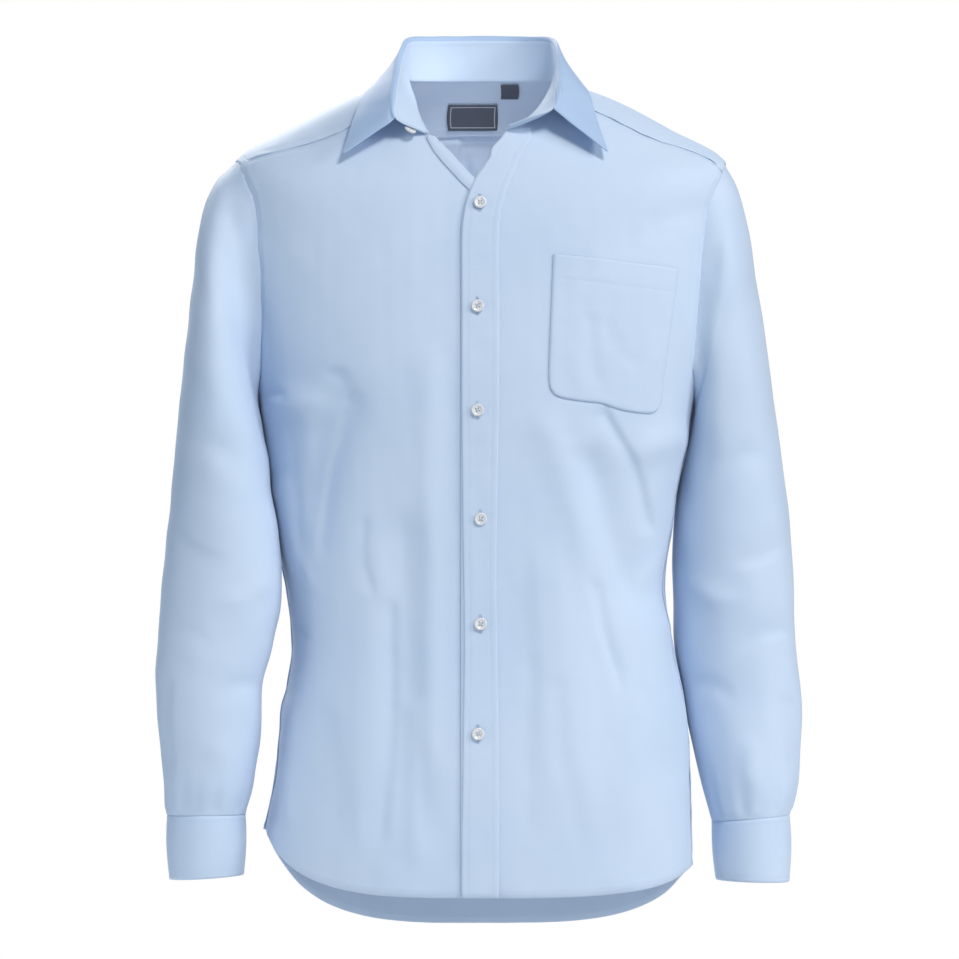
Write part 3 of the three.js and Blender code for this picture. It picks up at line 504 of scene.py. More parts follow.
def fold_height(folds: Sequence[Fold], x: Array, z: Array) -> Array:
    """Sum of folds at points seen from one side.

    Args:
        folds: the folds of that side.
        x: sideways places of the points.
        z: heights of the points.

    Returns:
        How far each point stands out.
    """
    total = np.zeros(np.broadcast(x, z).shape)
    for fold in folds:
        (x0, z0), (x1, z1) = fold.start, fold.end
        length = math.hypot(x1 - x0, z1 - z0)
        along = ((x - x0) * (x1 - x0) + (z - z0) * (z1 - z0)) / length
        aside = ((x - x0) * (z1 - z0) - (z - z0) * (x1 - x0)) / length
        share = np.clip(along / length, 0.0, 1.0)
        aside = aside - fold.bow * np.sin(np.pi * share) ** 2
        width = fold.width * (1 + fold.lean * np.tanh(aside / fold.width))
        ends = smooth(-0.5 * fold.width, 1.5 * fold.width, along)
        ends = ends * smooth(-0.5 * fold.width, 2.5 * fold.width, length - along)
        total = total + fold.height * ends * np.exp(-((aside / width) ** 2))
    return total


def ripple(points: Array, pitch: float, seed: int) -> Array:
    """Soft uneven waves in space, about one unit high.

    Args:
        points: points in millimetres.
        pitch: usual distance between waves.
        seed: fixes the directions and phases.

    Returns:
        One height for each point.
    """
    draw = np.random.default_rng(seed)
    total = np.zeros(points.shape[:-1])
    waves = 7
    for _ in range(waves):
        direction = unit(draw.normal(size=3))
        length = pitch * draw.uniform(0.7, 1.6)
        total += np.sin(2 * np.pi * points @ direction / length + draw.uniform(0, 2 * np.pi))
    return total / math.sqrt(waves)


class BodyForm:
    """The rounded form that the panels of the body follow."""

    def __init__(self, levels: Sequence[Level]) -> None:
        """Keeps the table of levels as columns.

        Args:
            levels: the form's levels from below the hem to the neck.
        """
        self.table = {
            item.name: np.array([[getattr(level, item.name)] for level in levels], float)
            for item in fields(Level)
        }
        self.top = float(len(levels) - 1)

    def column(self, name: str, level: Array) -> Array:
        """One column of the table between its levels."""
        return spline(self.table[name], np.asarray(level, float))[..., 0]

    def point(self, turn: Array, level: Array) -> Array:
        """Points of the form; turn is 0 in front, 0.5 at the wearer's left and -1 behind."""
        across, ahead = np.sin(np.pi * turn), np.cos(np.pi * turn)
        power = 2 / self.column("square", level)
        width = np.where(across > 0, self.column("left", level), self.column("right", level))
        depth = np.where(ahead > 0, self.column("front", level), self.column("back", level))
        end = np.where(ahead > 0, self.column("z_front", level), self.column("z_back", level))
        side = self.column("z_side", level)
        return np.stack([
            width * signed_power(across, power),
            -depth * signed_power(ahead, power),
            side + (end - side) * np.abs(ahead) ** HEIGHT_BLEND,
        ], axis=-1)

    def normal(self, turn: Array, level: Array) -> Array:
        """Outward normals of the form."""
        step = 0.004
        low = np.maximum(0.0, level - 10 * step)
        high = np.minimum(self.top, level + 10 * step)
        round_ = self.point(turn + step, level) - self.point(turn - step, level)
        return unit(np.cross(round_, self.point(turn, high) - self.point(turn, low)))

    def turn_seen(self, x: Array, level: Array, behind: bool) -> Array:
        """Turn at which a level is seen at x, from the front or from behind."""
        width = np.where(x > 0, self.column("left", level), self.column("right", level))
        share = np.minimum(1.0, np.abs(x) / width)
        angle = np.sign(x) * np.arcsin(share ** (self.column("square", level) / 2)) / np.pi
        return -1 - angle if behind else angle

    def seen(self, points: Sequence[Seen], behind: bool = False) -> Array:
        """Places on the form that are seen at given points.

        Args:
            points: rows of (x, z).
            behind: seen from behind, and not from the front.

        Returns:
            Rows of (turn, level).
        """
        x, z = np.asarray(points, float).T
        low, high = np.zeros(len(x)), np.full(len(x), self.top)
        for _ in range(40):
            level = (low + high) / 2
            below = self.point(self.turn_seen(x, level, behind), level)[..., 2] < z
            low = np.where(below, level, low)
            high = np.where(below, high, level)
        return np.stack([self.turn_seen(x, low, behind), low], axis=-1)

    def level_at(self, turn: Array, z: Array) -> Array:
        """Level of the form that has height z at a turn."""
        turn, z = np.broadcast_arrays(np.asarray(turn, float), np.asarray(z, float))
        low, high = np.zeros(turn.shape), np.full(turn.shape, self.top)
        for _ in range(40):
            level = (low + high) / 2
            below = self.point(turn, level)[..., 2] < z
            low = np.where(below, level, low)
            high = np.where(below, high, level)
        return low

    def course(self, points: Sequence[Seen], behind: bool = False) -> Course:
        """Smooth course through points seen on the form."""
        return course_through(self.seen(points, behind))

    def hem(self, turn: Array) -> Array:
        """Places of the curved hem at given turns."""
        across, ahead = np.sin(np.pi * turn), np.cos(np.pi * turn)
        side = np.where(across > 0, SIDE_HEM_Z[1], SIDE_HEM_Z[0])
        middle = np.where(ahead > 0, FRONT_HEM_Z, BACK_HEM_Z)
        across = np.abs(across)
        rise = HEM_SHARE * across ** HEM_ROUND + (1 - HEM_SHARE) * across ** HEM_CORNER
        return np.stack([turn, self.level_at(turn, middle + (side - middle) * rise)], axis=-1)

    def cloth(self, places: Array, distance: Array | float) -> Array:
        """Points of the cloth at a distance outside the form, with its folds and small waves."""
        turn, level = places[..., 0], places[..., 1]
        point = self.point(turn, level)
        x, y, z = np.moveaxis(point, -1, 0)
        flat = smooth(FLAT_MIDDLE, 2 * FLAT_MIDDLE, np.abs(x))
        front = (flat * fold_height(FRONT_FOLDS[:FRONT_MAIN_FOLDS], x, z)
                 + fold_height(FRONT_FOLDS[FRONT_MAIN_FOLDS:], x, z))
        back = fold_height(BACK_FOLDS, x, z)
        waves = 0.35 * ripple(point, 55.0, 3) + 0.12 * ripple(point, 19.0, 5)
        low = smooth(-40.0, -160.0, z)
        lift = distance + np.where(y > 0, back, front) + waves * (0.3 + 0.7 * low)
        return point + self.normal(turn, level) * lift[..., None]


class ClothGrid:
    """A grid of points on the outer face of a piece of cloth."""

    def __init__(self, points: Array, sign: int = 1, wrapped: bool = False) -> None:
        """Keeps the points.

        Args:
            points: points as (column, row, 3).
            sign: 1 where columns crossed with rows point outwards, else -1.
            wrapped: the last column is the first one again.
        """
        self.points = points
        self.sign = sign
        self.wrapped = wrapped

    def normals(self) -> Array:
        """Outward normals of the grid."""
        points = self.points
        if self.wrapped:
            ring = np.concatenate([points[-2:-1], points, points[1:2]])
            round_ = ring[2:] - ring[:-2]
        else:
            round_ = np.gradient(points, axis=0)
        return self.sign * unit(np.cross(round_, np.gradient(points, axis=1)))

    def moved(self, distance: Array | float) -> "ClothGrid":
        """The grid moved outwards."""
        lift = np.broadcast_to(np.asarray(distance, float), self.points.shape[:2])
        return ClothGrid(self.points + self.normals() * lift[..., None], self.sign, self.wrapped)

    def lengths(self, axis: int) -> Array:
        """Length along the columns (axis 0) or the rows (axis 1) up to each point."""
        steps = np.linalg.norm(np.diff(self.points, axis=axis), axis=-1)
        total = np.cumsum(steps, axis=axis)
        return np.insert(total, 0, 0.0, axis=axis)

    def inset(self, edge: Edge) -> Array:
        """Distance of each point from an edge, measured along the grid."""
        lengths = self.lengths(0 if edge in (Edge.START, Edge.END) else 1)
        if edge is Edge.END:
            return lengths[-1:] - lengths
        if edge is Edge.TOP:
            return lengths[:, -1:] - lengths
        return lengths

    def line(self, edge: Edge, inset: float, lift: float = 0.0, ends: float = 0.0) -> Array:
        """Line that runs along an edge at a distance from it.

        Args:
            edge: the edge to follow.
            inset: distance from the edge.
            lift: distance outside the cloth.
            ends: distance at which the line stops before the neighbouring edges.

        Returns:
            Points of the line.
        """
        source = self.moved(lift).points if lift else self.points
        depth = self.inset(edge)
        if edge in (Edge.START, Edge.END):
            depth, source = depth.T, source.swapaxes(0, 1)
        if edge in (Edge.END, Edge.TOP):
            depth, source = depth[:, ::-1], source[:, ::-1]
        steps = np.arange(depth.shape[1])
        place = np.array([np.interp(inset, row, steps) for row in depth])
        low = np.minimum(place.astype(int), depth.shape[1] - 2)
        rest = (place - low)[:, None]
        rows = np.arange(len(depth))
        trail = source[rows, low] * (1 - rest) + source[rows, low + 1] * rest
        if not ends:
            return trail
        run = np.concatenate([[0.0], np.cumsum(np.linalg.norm(np.diff(trail, axis=0), axis=1))])
        return trail[(run >= ends) & (run <= run[-1] - ends)]

    def area(self) -> float:
        """Area of the grid in square metres."""
        a, b = np.diff(self.points, axis=0)[:, :-1], np.diff(self.points, axis=1)[:-1]
        return float(np.linalg.norm(np.cross(a, b), axis=-1).sum()) * MM * MM


def make_object(name: str, vertices: Array, faces: Array, uv: Array | None = None) -> bpy.types.Object:
    """Mesh object from arrays in millimetres.

    Args:
        name: name of the piece.
        vertices: points, one row each.
        faces: corners of the four-sided faces.
        uv: place on the cloth of each corner, in millimetres, or nothing.

    Returns:
        The new object, linked to the scene.
    """
    mesh = bpy.data.meshes.new(name)
    mesh.vertices.add(len(vertices))
    mesh.vertices.foreach_set("co", (np.asarray(vertices) * MM).ravel())
    mesh.loops.add(faces.size)
    mesh.loops.foreach_set("vertex_index", faces.ravel().astype(np.int32))
    mesh.polygons.add(len(faces))
    mesh.polygons.foreach_set("loop_start", np.arange(0, faces.size, faces.shape[1], dtype=np.int32))
    mesh.update(calc_edges=True)
    mesh.polygons.foreach_set("use_smooth", np.ones(len(faces), bool))
    if uv is not None:
        layer = mesh.uv_layers.new(name="cloth")
        layer.data.foreach_set("uv", (uv * MM).ravel())
    mesh.validate()
    mesh.update()
    obj = bpy.data.objects.new(name, mesh)
    bpy.context.scene.collection.objects.link(obj)
    return obj


def build_shell(name: str, outer: ClothGrid, thickness: Array | float) -> bpy.types.Object:
    """Closed wall of cloth with rounded edges.

    Args:
        name: name of the piece.
        outer: the outer face.
        thickness: thickness, the same all over or one for each point.

    Returns:
        The new object, with a map named cloth of its lengths across and along.
    """
    thick = np.broadcast_to(np.asarray(thickness, float), outer.points.shape[:2])
    inner = outer.points - outer.normals() * thick[..., None]
    columns, rows = outer.points.shape[0] - 1, outer.points.shape[1] - 1
    stored = columns if outer.wrapped else columns + 1
    if outer.wrapped:
        rings = [[(i, 0) for i in range(columns + 1)], [(i, rows) for i in range(columns, -1, -1)]]
    else:
        rings = [[(i, 0) for i in range(columns)] + [(columns, j) for j in range(rows)]
                 + [(i, rows) for i in range(columns, 0, -1)] + [(0, j) for j in range(rows, -1, -1)]]
    half = stored * (rows + 1)
    layers = [outer.points[:stored].reshape(-1, 3), inner[:stored].reshape(-1, 3)]
    i, j = (a.ravel() for a in np.meshgrid(np.arange(columns), np.arange(rows), indexing="ij"))
    corners = np.stack([np.stack([i, j], -1), np.stack([i + 1, j], -1),
                        np.stack([i + 1, j + 1], -1), np.stack([i, j + 1], -1)], axis=1)
    spot = (corners[..., 0] % stored) * (rows + 1) + corners[..., 1]
    faces = [spot, (half + spot)[:, ::-1]]
    cloth_corners = [corners, corners[:, ::-1]]
    count = 2 * half
    for ring in rings:
        place = np.array(ring)
        x, y = place.T
        if outer.wrapped:
            near = np.stack([x, np.clip(y, 1, rows - 1)], -1)
        else:
            near = np.stack([np.clip(x, 1, columns - 1), np.clip(y, 1, rows - 1)], -1)
        push = unit(outer.points[x, y] - outer.points[near[:, 0], near[:, 1]])
        middle = (outer.points[x, y] + inner[x, y]) / 2 + 0.4 * thick[x, y][:, None] * push
        layers.append(middle[:-1])
        around = np.arange(len(ring) - 1)
        following = (around + 1) % len(around)
        high = (x % stored) * (rows + 1) + y
        for first, second in ((high, None), (None, half + high)):
            a = first[:-1] if first is not None else count + around
            b = first[1:] if first is not None else count + following
            c = second[1:] if second is not None else count + following
            d = second[:-1] if second is not None else count + around
            faces.append(np.stack([b, a, d, c], axis=1))
            cloth_corners.append(np.stack([place[1:], place[:-1], place[:-1], place[1:]], axis=1))
        count += len(around)
    faces = np.concatenate(faces)
    marks = np.concatenate(cloth_corners)
    if outer.sign < 0:
        faces, marks = faces[:, ::-1], marks[:, ::-1]
    flat = np.stack([outer.lengths(0), outer.lengths(1)], axis=-1)
    return make_object(name, np.concatenate(layers), faces, flat[marks[..., 0], marks[..., 1]])


def add_node(tree: bpy.types.NodeTree, kind: str, **inputs: object) -> bpy.types.Node:
    """New node with some of its inputs set.

    Args:
        tree: the tree that gets the node.
        kind: the node's type.
        inputs: values or output sockets by input name, with underscores for spaces.

    Returns:
        The node.
    """
    node = tree.nodes.new(kind)
    for name, value in inputs.items():
        socket = node.inputs[name.replace("_", " ")]
        if isinstance(value, bpy.types.NodeSocket):
            tree.links.new(value, socket)
        else:
            socket.default_value = value
    return node


def math_node(tree: bpy.types.NodeTree, operation: str, *values: object) -> bpy.types.NodeSocket:
    """Result of one sum on values or sockets."""
    node = tree.nodes.new("ShaderNodeMath")
    node.operation = operation
    for socket, value in zip(node.inputs, values):
        if isinstance(value, bpy.types.NodeSocket):
            tree.links.new(value, socket)
        else:
            socket.default_value = value
    return node.outputs[0]


def mix_colours(tree: bpy.types.NodeTree, share: bpy.types.NodeSocket, a: Sequence[float],
                b: Sequence[float] | bpy.types.NodeSocket) -> bpy.types.NodeSocket:
    """Colour between two, by a share."""
    node = tree.nodes.new("ShaderNodeMix")
    node.data_type = "RGBA"
    tree.links.new(share, node.inputs["Factor"])
    for name, value in (("A", a), ("B", b)):
        socket = next(s for s in node.inputs if s.name == name and s.type == "RGBA")
        if isinstance(value, bpy.types.NodeSocket):
            tree.links.new(value, socket)
        else:
            socket.default_value = (*value, 1.0)
    return next(s for s in node.outputs if s.type == "RGBA")


Colour = tuple[float, float, float]


@dataclass(frozen=True)
class ClothFinish:
    """Woven cotton with a smooth face: fine weave, uneven yarn, soft hand waves and sheen."""

    name: str
    colour: Colour
    deep_colour: Colour
    roughness: float = 0.62
    sheen: float = 0.18
    thread_pitch: float = 0.42
    weave_depth: float = 0.028
    slub: float = 0.35
    wave_depth: float = 0.35
    wave_scale: float = 26.0

    def material(self) -> bpy.types.Material:
        """Builds the cloth's material."""
        material = bpy.data.materials.new(self.name)
        material.use_nodes = True
        tree = material.node_tree
        shader = tree.nodes["Principled BSDF"]
        shader.inputs["Roughness"].default_value = self.roughness
        shader.inputs["Sheen Weight"].default_value = self.sheen
        shader.inputs["Sheen Roughness"].default_value = 0.45
        shader.inputs["Specular IOR Level"].default_value = 0.32
        cloth = tree.nodes.new("ShaderNodeUVMap")
        cloth.uv_map = "cloth"
        place = tree.nodes.new("ShaderNodeTexCoord").outputs["Object"]
        yarns = []
        for direction in ("X", "Y"):
            wave = add_node(tree, "ShaderNodeTexWave", Vector=cloth.outputs["UV"],
                            Scale=math.pi / (10 * self.thread_pitch * MM), Distortion=0.6,
                            Detail=1.0, Detail_Scale=2.0)
            wave.bands_direction = direction
            yarns.append(wave.outputs["Fac"])
        weave = math_node(tree, "MULTIPLY", yarns[0], yarns[1])
        streaks = []
        for stretch in ((900.0, 14.0, 1.0), (14.0, 900.0, 1.0)):
            mapping = add_node(tree, "ShaderNodeMapping", Vector=cloth.outputs["UV"], Scale=stretch)
            noise = add_node(tree, "ShaderNodeTexNoise", Vector=mapping.outputs["Vector"], Scale=1.0,
                             Detail=2.0)
            streaks.append(noise.outputs["Fac"])
        yarn = math_node(tree, "MULTIPLY", math_node(tree, "ADD", *streaks), 0.5)
        tone = add_node(tree, "ShaderNodeTexNoise", Vector=place, Scale=7.0, Detail=3.0)
        shade = math_node(tree, "MULTIPLY_ADD", yarn, self.slub, tone.outputs["Fac"])
        shade = math_node(tree, "MULTIPLY_ADD", weave, 0.12, shade)
        limits = add_node(tree, "ShaderNodeMapRange", Value=shade, From_Min=0.45, From_Max=1.0)
        colour = mix_colours(tree, limits.outputs["Result"], self.deep_colour, self.colour)
        tree.links.new(colour, shader.inputs["Base Color"])
        waves = add_node(tree, "ShaderNodeTexNoise", Vector=place, Scale=self.wave_scale, Detail=2.0,
                         Roughness=0.4)
        soft = add_node(tree, "ShaderNodeBump", Height=waves.outputs["Fac"], Strength=1.0,
                        Distance=self.wave_depth * MM)
        fine = math_node(tree, "MULTIPLY_ADD", yarn, 0.8, weave)
        bump = add_node(tree, "ShaderNodeBump", Height=fine, Strength=1.0,
                        Distance=self.weave_depth * MM, Normal=soft.outputs["Normal"])
        tree.links.new(bump.outputs["Normal"], shader.inputs["Normal"])
        return material


@dataclass(frozen=True)
class ThreadFinish:
    """Sewing thread with a slight twist."""

    name: str
    colour: Colour
    roughness: float = 0.5
    twist_scale: float = 900.0

    def material(self) -> bpy.types.Material:
        """Builds the thread's material."""
        material = bpy.data.materials.new(self.name)
        material.use_nodes = True
        tree = material.node_tree
        shader = tree.nodes["Principled BSDF"]
        shader.inputs["Roughness"].default_value = self.roughness
        shader.inputs["Sheen Weight"].default_value = 0.2
        place = tree.nodes.new("ShaderNodeTexCoord").outputs["Object"]
        noise = add_node(tree, "ShaderNodeTexNoise", Vector=place, Scale=self.twist_scale, Detail=1.0)
        darker = tuple(0.82 * part for part in self.colour)
        tree.links.new(mix_colours(tree, noise.outputs["Fac"], darker, self.colour),
                       shader.inputs["Base Color"])
        bump = add_node(tree, "ShaderNodeBump", Height=noise.outputs["Fac"], Strength=0.5,
                        Distance=0.05 * MM)
        tree.links.new(bump.outputs["Normal"], shader.inputs["Normal"])
        return material


@dataclass(frozen=True)
class PearlFinish:
    """Pearly button plastic: pale, glossy, with faint clouds."""

    name: str
    colour: Colour
    cloud_colour: Colour
    roughness: float = 0.22

    def material(self) -> bpy.types.Material:
        """Builds the button's material."""
        material = bpy.data.materials.new(self.name)
        material.use_nodes = True
        tree = material.node_tree
        shader = tree.nodes["Principled BSDF"]
        shader.inputs["Roughness"].default_value = self.roughness
        shader.inputs["Coat Weight"].default_value = 0.35
        shader.inputs["Coat Roughness"].default_value = 0.12
        place = tree.nodes.new("ShaderNodeTexCoord").outputs["Object"]
        cloud = add_node(tree, "ShaderNodeTexNoise", Vector=place, Scale=260.0, Detail=4.0,
                         Distortion=1.6)
        limits = add_node(tree, "ShaderNodeMapRange", Value=cloud.outputs["Fac"], From_Min=0.35,
                          From_Max=0.65)
        tree.links.new(mix_colours(tree, limits.outputs["Result"], self.cloud_colour, self.colour),
                       shader.inputs["Base Color"])
        return material


@dataclass(frozen=True)
class LabelFinish:
    """Woven label: a dark field with a thin pale frame and fine ribs."""

    name: str
    field_colour: Colour
    frame_colour: Colour
    frame_inset: float
    frame_width: float

    def material(self, size: tuple[float, float]) -> bpy.types.Material:
        """Builds the material of a label with a given width and length in millimetres."""
        material = bpy.data.materials.new(self.name)
        material.use_nodes = True
        tree = material.node_tree
        shader = tree.nodes["Principled BSDF"]
        shader.inputs["Roughness"].default_value = 0.7
        shader.inputs["Sheen Weight"].default_value = 0.15
        cloth = tree.nodes.new("ShaderNodeUVMap")
        cloth.uv_map = "cloth"
        axes = add_node(tree, "ShaderNodeSeparateXYZ", Vector=cloth.outputs["UV"])
        gaps = []
        for name, length in zip("XY", size):
            off_centre = math_node(tree, "SUBTRACT", axes.outputs[name], 0.5 * length * MM)
            gaps.append(math_node(tree, "SUBTRACT", 0.5 * length * MM,
                                  math_node(tree, "ABSOLUTE", off_centre)))
        depth = math_node(tree, "MINIMUM", *gaps)
        off_frame = math_node(tree, "ABSOLUTE", math_node(tree, "SUBTRACT", depth, self.frame_inset * MM))
        on_frame = math_node(tree, "LESS_THAN", off_frame, 0.5 * self.frame_width * MM)
        ribs = add_node(tree, "ShaderNodeTexWave", Vector=cloth.outputs["UV"], Scale=700.0,
                        Distortion=0.4)
        tree.links.new(mix_colours(tree, on_frame, self.field_colour, self.frame_colour),
                       shader.inputs["Base Color"])
        bump = add_node(tree, "ShaderNodeBump", Height=ribs.outputs["Fac"], Strength=0.7,
                        Distance=0.06 * MM)
        tree.links.new(bump.outputs["Normal"], shader.inputs["Normal"])
        return material


@dataclass(frozen=True)
class FloorFinish:
    """Plain pale floor."""

    name: str
    colour: Colour

    def material(self) -> bpy.types.Material:
        """Builds the floor's material."""
        material = bpy.data.materials.new(self.name)
        material.use_nodes = True
        tree = material.node_tree
        shader = tree.nodes["Principled BSDF"]
        shader.inputs["Roughness"].default_value = 0.9
        place = tree.nodes.new("ShaderNodeTexCoord").outputs["Object"]
        noise = add_node(tree, "ShaderNodeTexNoise", Vector=place, Scale=3.0)
        darker = tuple(0.97 * part for part in self.colour)
        tree.links.new(mix_colours(tree, noise.outputs["Fac"], darker, self.colour),
                       shader.inputs["Base Color"])
        return material


@dataclass
class Sewing:
    """Stitches: one small thread for each edge of a mesh of lines, by geometry nodes."""

    finish: ThreadFinish
    thread: float = 0.34
    pitch: float = 2.6
    fill: float = 0.8
    tree: bpy.types.NodeTree = field(init=False)
    material: bpy.types.Material = field(init=False)

    def __post_init__(self) -> None:
        """Builds the material and the node tree once."""
        self.material = self.finish.material()
        self.tree = self.node_tree()

    def node_tree(self) -> bpy.types.NodeTree:
        """Node tree that turns each edge into one stitch."""
        tree = bpy.data.node_groups.new("stitches", "GeometryNodeTree")
        face = tree.interface
        face.new_socket("Geometry", in_out="INPUT", socket_type="NodeSocketGeometry")
        face.new_socket("Thread", in_out="INPUT", socket_type="NodeSocketFloat")
        face.new_socket("Fill", in_out="INPUT", socket_type="NodeSocketFloat")
        face.new_socket("Material", in_out="INPUT", socket_type="NodeSocketMaterial")
        face.new_socket("Geometry", in_out="OUTPUT", socket_type="NodeSocketGeometry")
        given = tree.nodes.new("NodeGroupInput").outputs
        edges = tree.nodes.new("GeometryNodeInputMeshEdgeVertices").outputs
        run = tree.nodes.new("ShaderNodeVectorMath")
        run.operation = "SUBTRACT"
        tree.links.new(edges["Position 2"], run.inputs[0])
        tree.links.new(edges["Position 1"], run.inputs[1])
        keep = tree.nodes.new("GeometryNodeStoreNamedAttribute")
        keep.data_type = "FLOAT_VECTOR"
        keep.domain = "EDGE"
        keep.inputs["Name"].default_value = "run"
        tree.links.new(given["Geometry"], keep.inputs["Geometry"])
        tree.links.new(run.outputs["Vector"], keep.inputs["Value"])
        points = add_node(tree, "GeometryNodeMeshToPoints", Mesh=keep.outputs["Geometry"])
        points.mode = "EDGES"
        named = tree.nodes.new("GeometryNodeInputNamedAttribute")
        named.data_type = "FLOAT_VECTOR"
        named.inputs["Name"].default_value = "run"
        kept = named.outputs["Attribute"]
        length = tree.nodes.new("ShaderNodeVectorMath")
        length.operation = "LENGTH"
        tree.links.new(kept, length.inputs[0])
        long_side = math_node(tree, "MULTIPLY", length.outputs["Value"], given["Fill"])
        size = add_node(tree, "ShaderNodeCombineXYZ", X=long_side, Y=given["Thread"], Z=given["Thread"])
        aim = add_node(tree, "FunctionNodeAlignEulerToVector", Vector=kept)
        aim.axis = "X"
        ball = add_node(tree, "GeometryNodeMeshUVSphere", Segments=6, Rings=5, Radius=0.5)
        turned = add_node(tree, "GeometryNodeTransform", Geometry=ball.outputs["Mesh"],
                          Rotation=(0.0, math.pi / 2, 0.0))
        placed = add_node(tree, "GeometryNodeInstanceOnPoints", Points=points.outputs["Points"],
                          Instance=turned.outputs["Geometry"], Rotation=aim.outputs["Rotation"],
                          Scale=size.outputs["Vector"])
        real = add_node(tree, "GeometryNodeRealizeInstances", Geometry=placed.outputs["Instances"])
        soft = add_node(tree, "GeometryNodeSetShadeSmooth", Geometry=real.outputs["Geometry"])
        dressed = add_node(tree, "GeometryNodeSetMaterial", Geometry=soft.outputs["Geometry"],
                           Material=given["Material"])
        result = tree.nodes.new("NodeGroupOutput")
        tree.links.new(dressed.outputs["Geometry"], result.inputs["Geometry"])
        return tree

    def seam(self, line: Array) -> list[tuple[Array, Array]]:
        """Stitches of even length along a line, as pairs of points."""
        run = np.concatenate([[0.0], np.cumsum(np.linalg.norm(np.diff(line, axis=0), axis=1))])
        count = max(1, round(run[-1] / self.pitch))
        marks = np.linspace(0.0, run[-1], count + 1)
        even = np.stack([np.interp(marks, run, line[:, axis]) for axis in range(3)], axis=-1)
        return list(zip(even[:-1], even[1:]))

    def sew(self, name: str, stitches: Sequence[tuple[Array, Array]], thread: float | None = None,
            fill: float | None = None) -> bpy.types.Object:
        """Makes all stitches of one piece as a plain mesh.

        Args:
            name: name of the piece.
            stitches: pairs of points.
            thread: thickness, or nothing for the usual one.
            fill: share of each pair's distance that the thread covers.

        Returns:
            The object, which rides on the root.
        """
        ends = np.array(stitches).reshape(-1, 3) * MM
        mesh = bpy.data.meshes.new(name)
        mesh.vertices.add(len(ends))
        mesh.vertices.foreach_set("co", ends.ravel())
        mesh.edges.add(len(ends) // 2)
        mesh.edges.foreach_set("vertices", np.arange(len(ends), dtype=np.int32))
        obj = bpy.data.objects.new(name, mesh)
        bpy.context.scene.collection.objects.link(obj)
        modifier = obj.modifiers.new("stitches", "NODES")
        modifier.node_group = self.tree
        values = {"Thread": (thread or self.thread) * MM, "Fill": fill or self.fill,
                  "Material": self.material}
        for item in self.tree.interface.items_tree:
            if item.in_out == "INPUT" and item.name in values:
                modifier[item.identifier] = values[item.name]
        shown = obj.evaluated_get(bpy.context.evaluated_depsgraph_get())
        plain = bpy.data.meshes.new_from_object(shown)
        obj.modifiers.clear()
        obj.data = plain
        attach(obj, ROOT)
        return obj

    def buttonhole(self, centre: Array, along: Array, normal: Array, length: float,
                   width: float = 1.3, step: float = 0.4) -> list[tuple[Array, Array]]:
        """Close stitches round a buttonhole.

        Args:
            centre: middle of the hole on the cloth.
            along: direction of the hole.
            normal: outward direction of the cloth.
            length: length of the hole.
            width: length of each stitch across its edge.
            step: distance between stitches.

        Returns:
            Pairs of points.
        """
        beside = np.cross(normal, along)
        gap = 0.15
        result = []
        for shift in np.arange(-0.5 * length, 0.5 * length + 0.01, step):
            for side in (-1, 1):
                start = centre + shift * along + side * gap * beside
                result.append((start, start + side * width * beside))
        for end in (-1, 1):
            for lift in (0.0, 0.45, 0.9):
                middle = centre + end * (0.5 * length + lift) * along
                result.append((middle - 1.2 * width * beside, middle + 1.2 * width * beside))
        return result


@dataclass
class ShirtKit:
    """What every sub-assembly shares: the form, the finishes and the sewing."""

    form: BodyForm
    cloth: bpy.types.Material
    collar: bpy.types.Material
    # darker copy of the poplin for the collar leaf: painted shade on the leaf
    leaf: bpy.types.Material
    pearl: bpy.types.Material
    sewing: Sewing

    def add_cloth(self, name: str, outer: ClothGrid, thickness: Array | float, nodes: Sequence[str],
                  cut: tuple[float, float], cut_area: float | None = None,
                  fused: bool = False) -> bpy.types.Object:
        """Args:
            name: name of the piece.
            outer: its outer face.
            thickness: thickness of the cloth.
            nodes: the nodes that it replaces.
            cut: width and length that it was cut to, in metres.
            cut_area: flat area in square metres, where the cut isn't a rectangle. Not used.
            fused: a fused double layer, as in the collar and the cuffs.

        Returns:
            The object.
        """
        obj = build_shell(name, outer, thickness)
        obj.data.materials.append(self.collar if fused else self.cloth)
        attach(obj, ROOT)
        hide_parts(*nodes)
        LOG.info("%s: %d faces, %.4f square metres, cut %s", name, len(obj.data.polygons),
                 outer.area(), cut)
        return obj


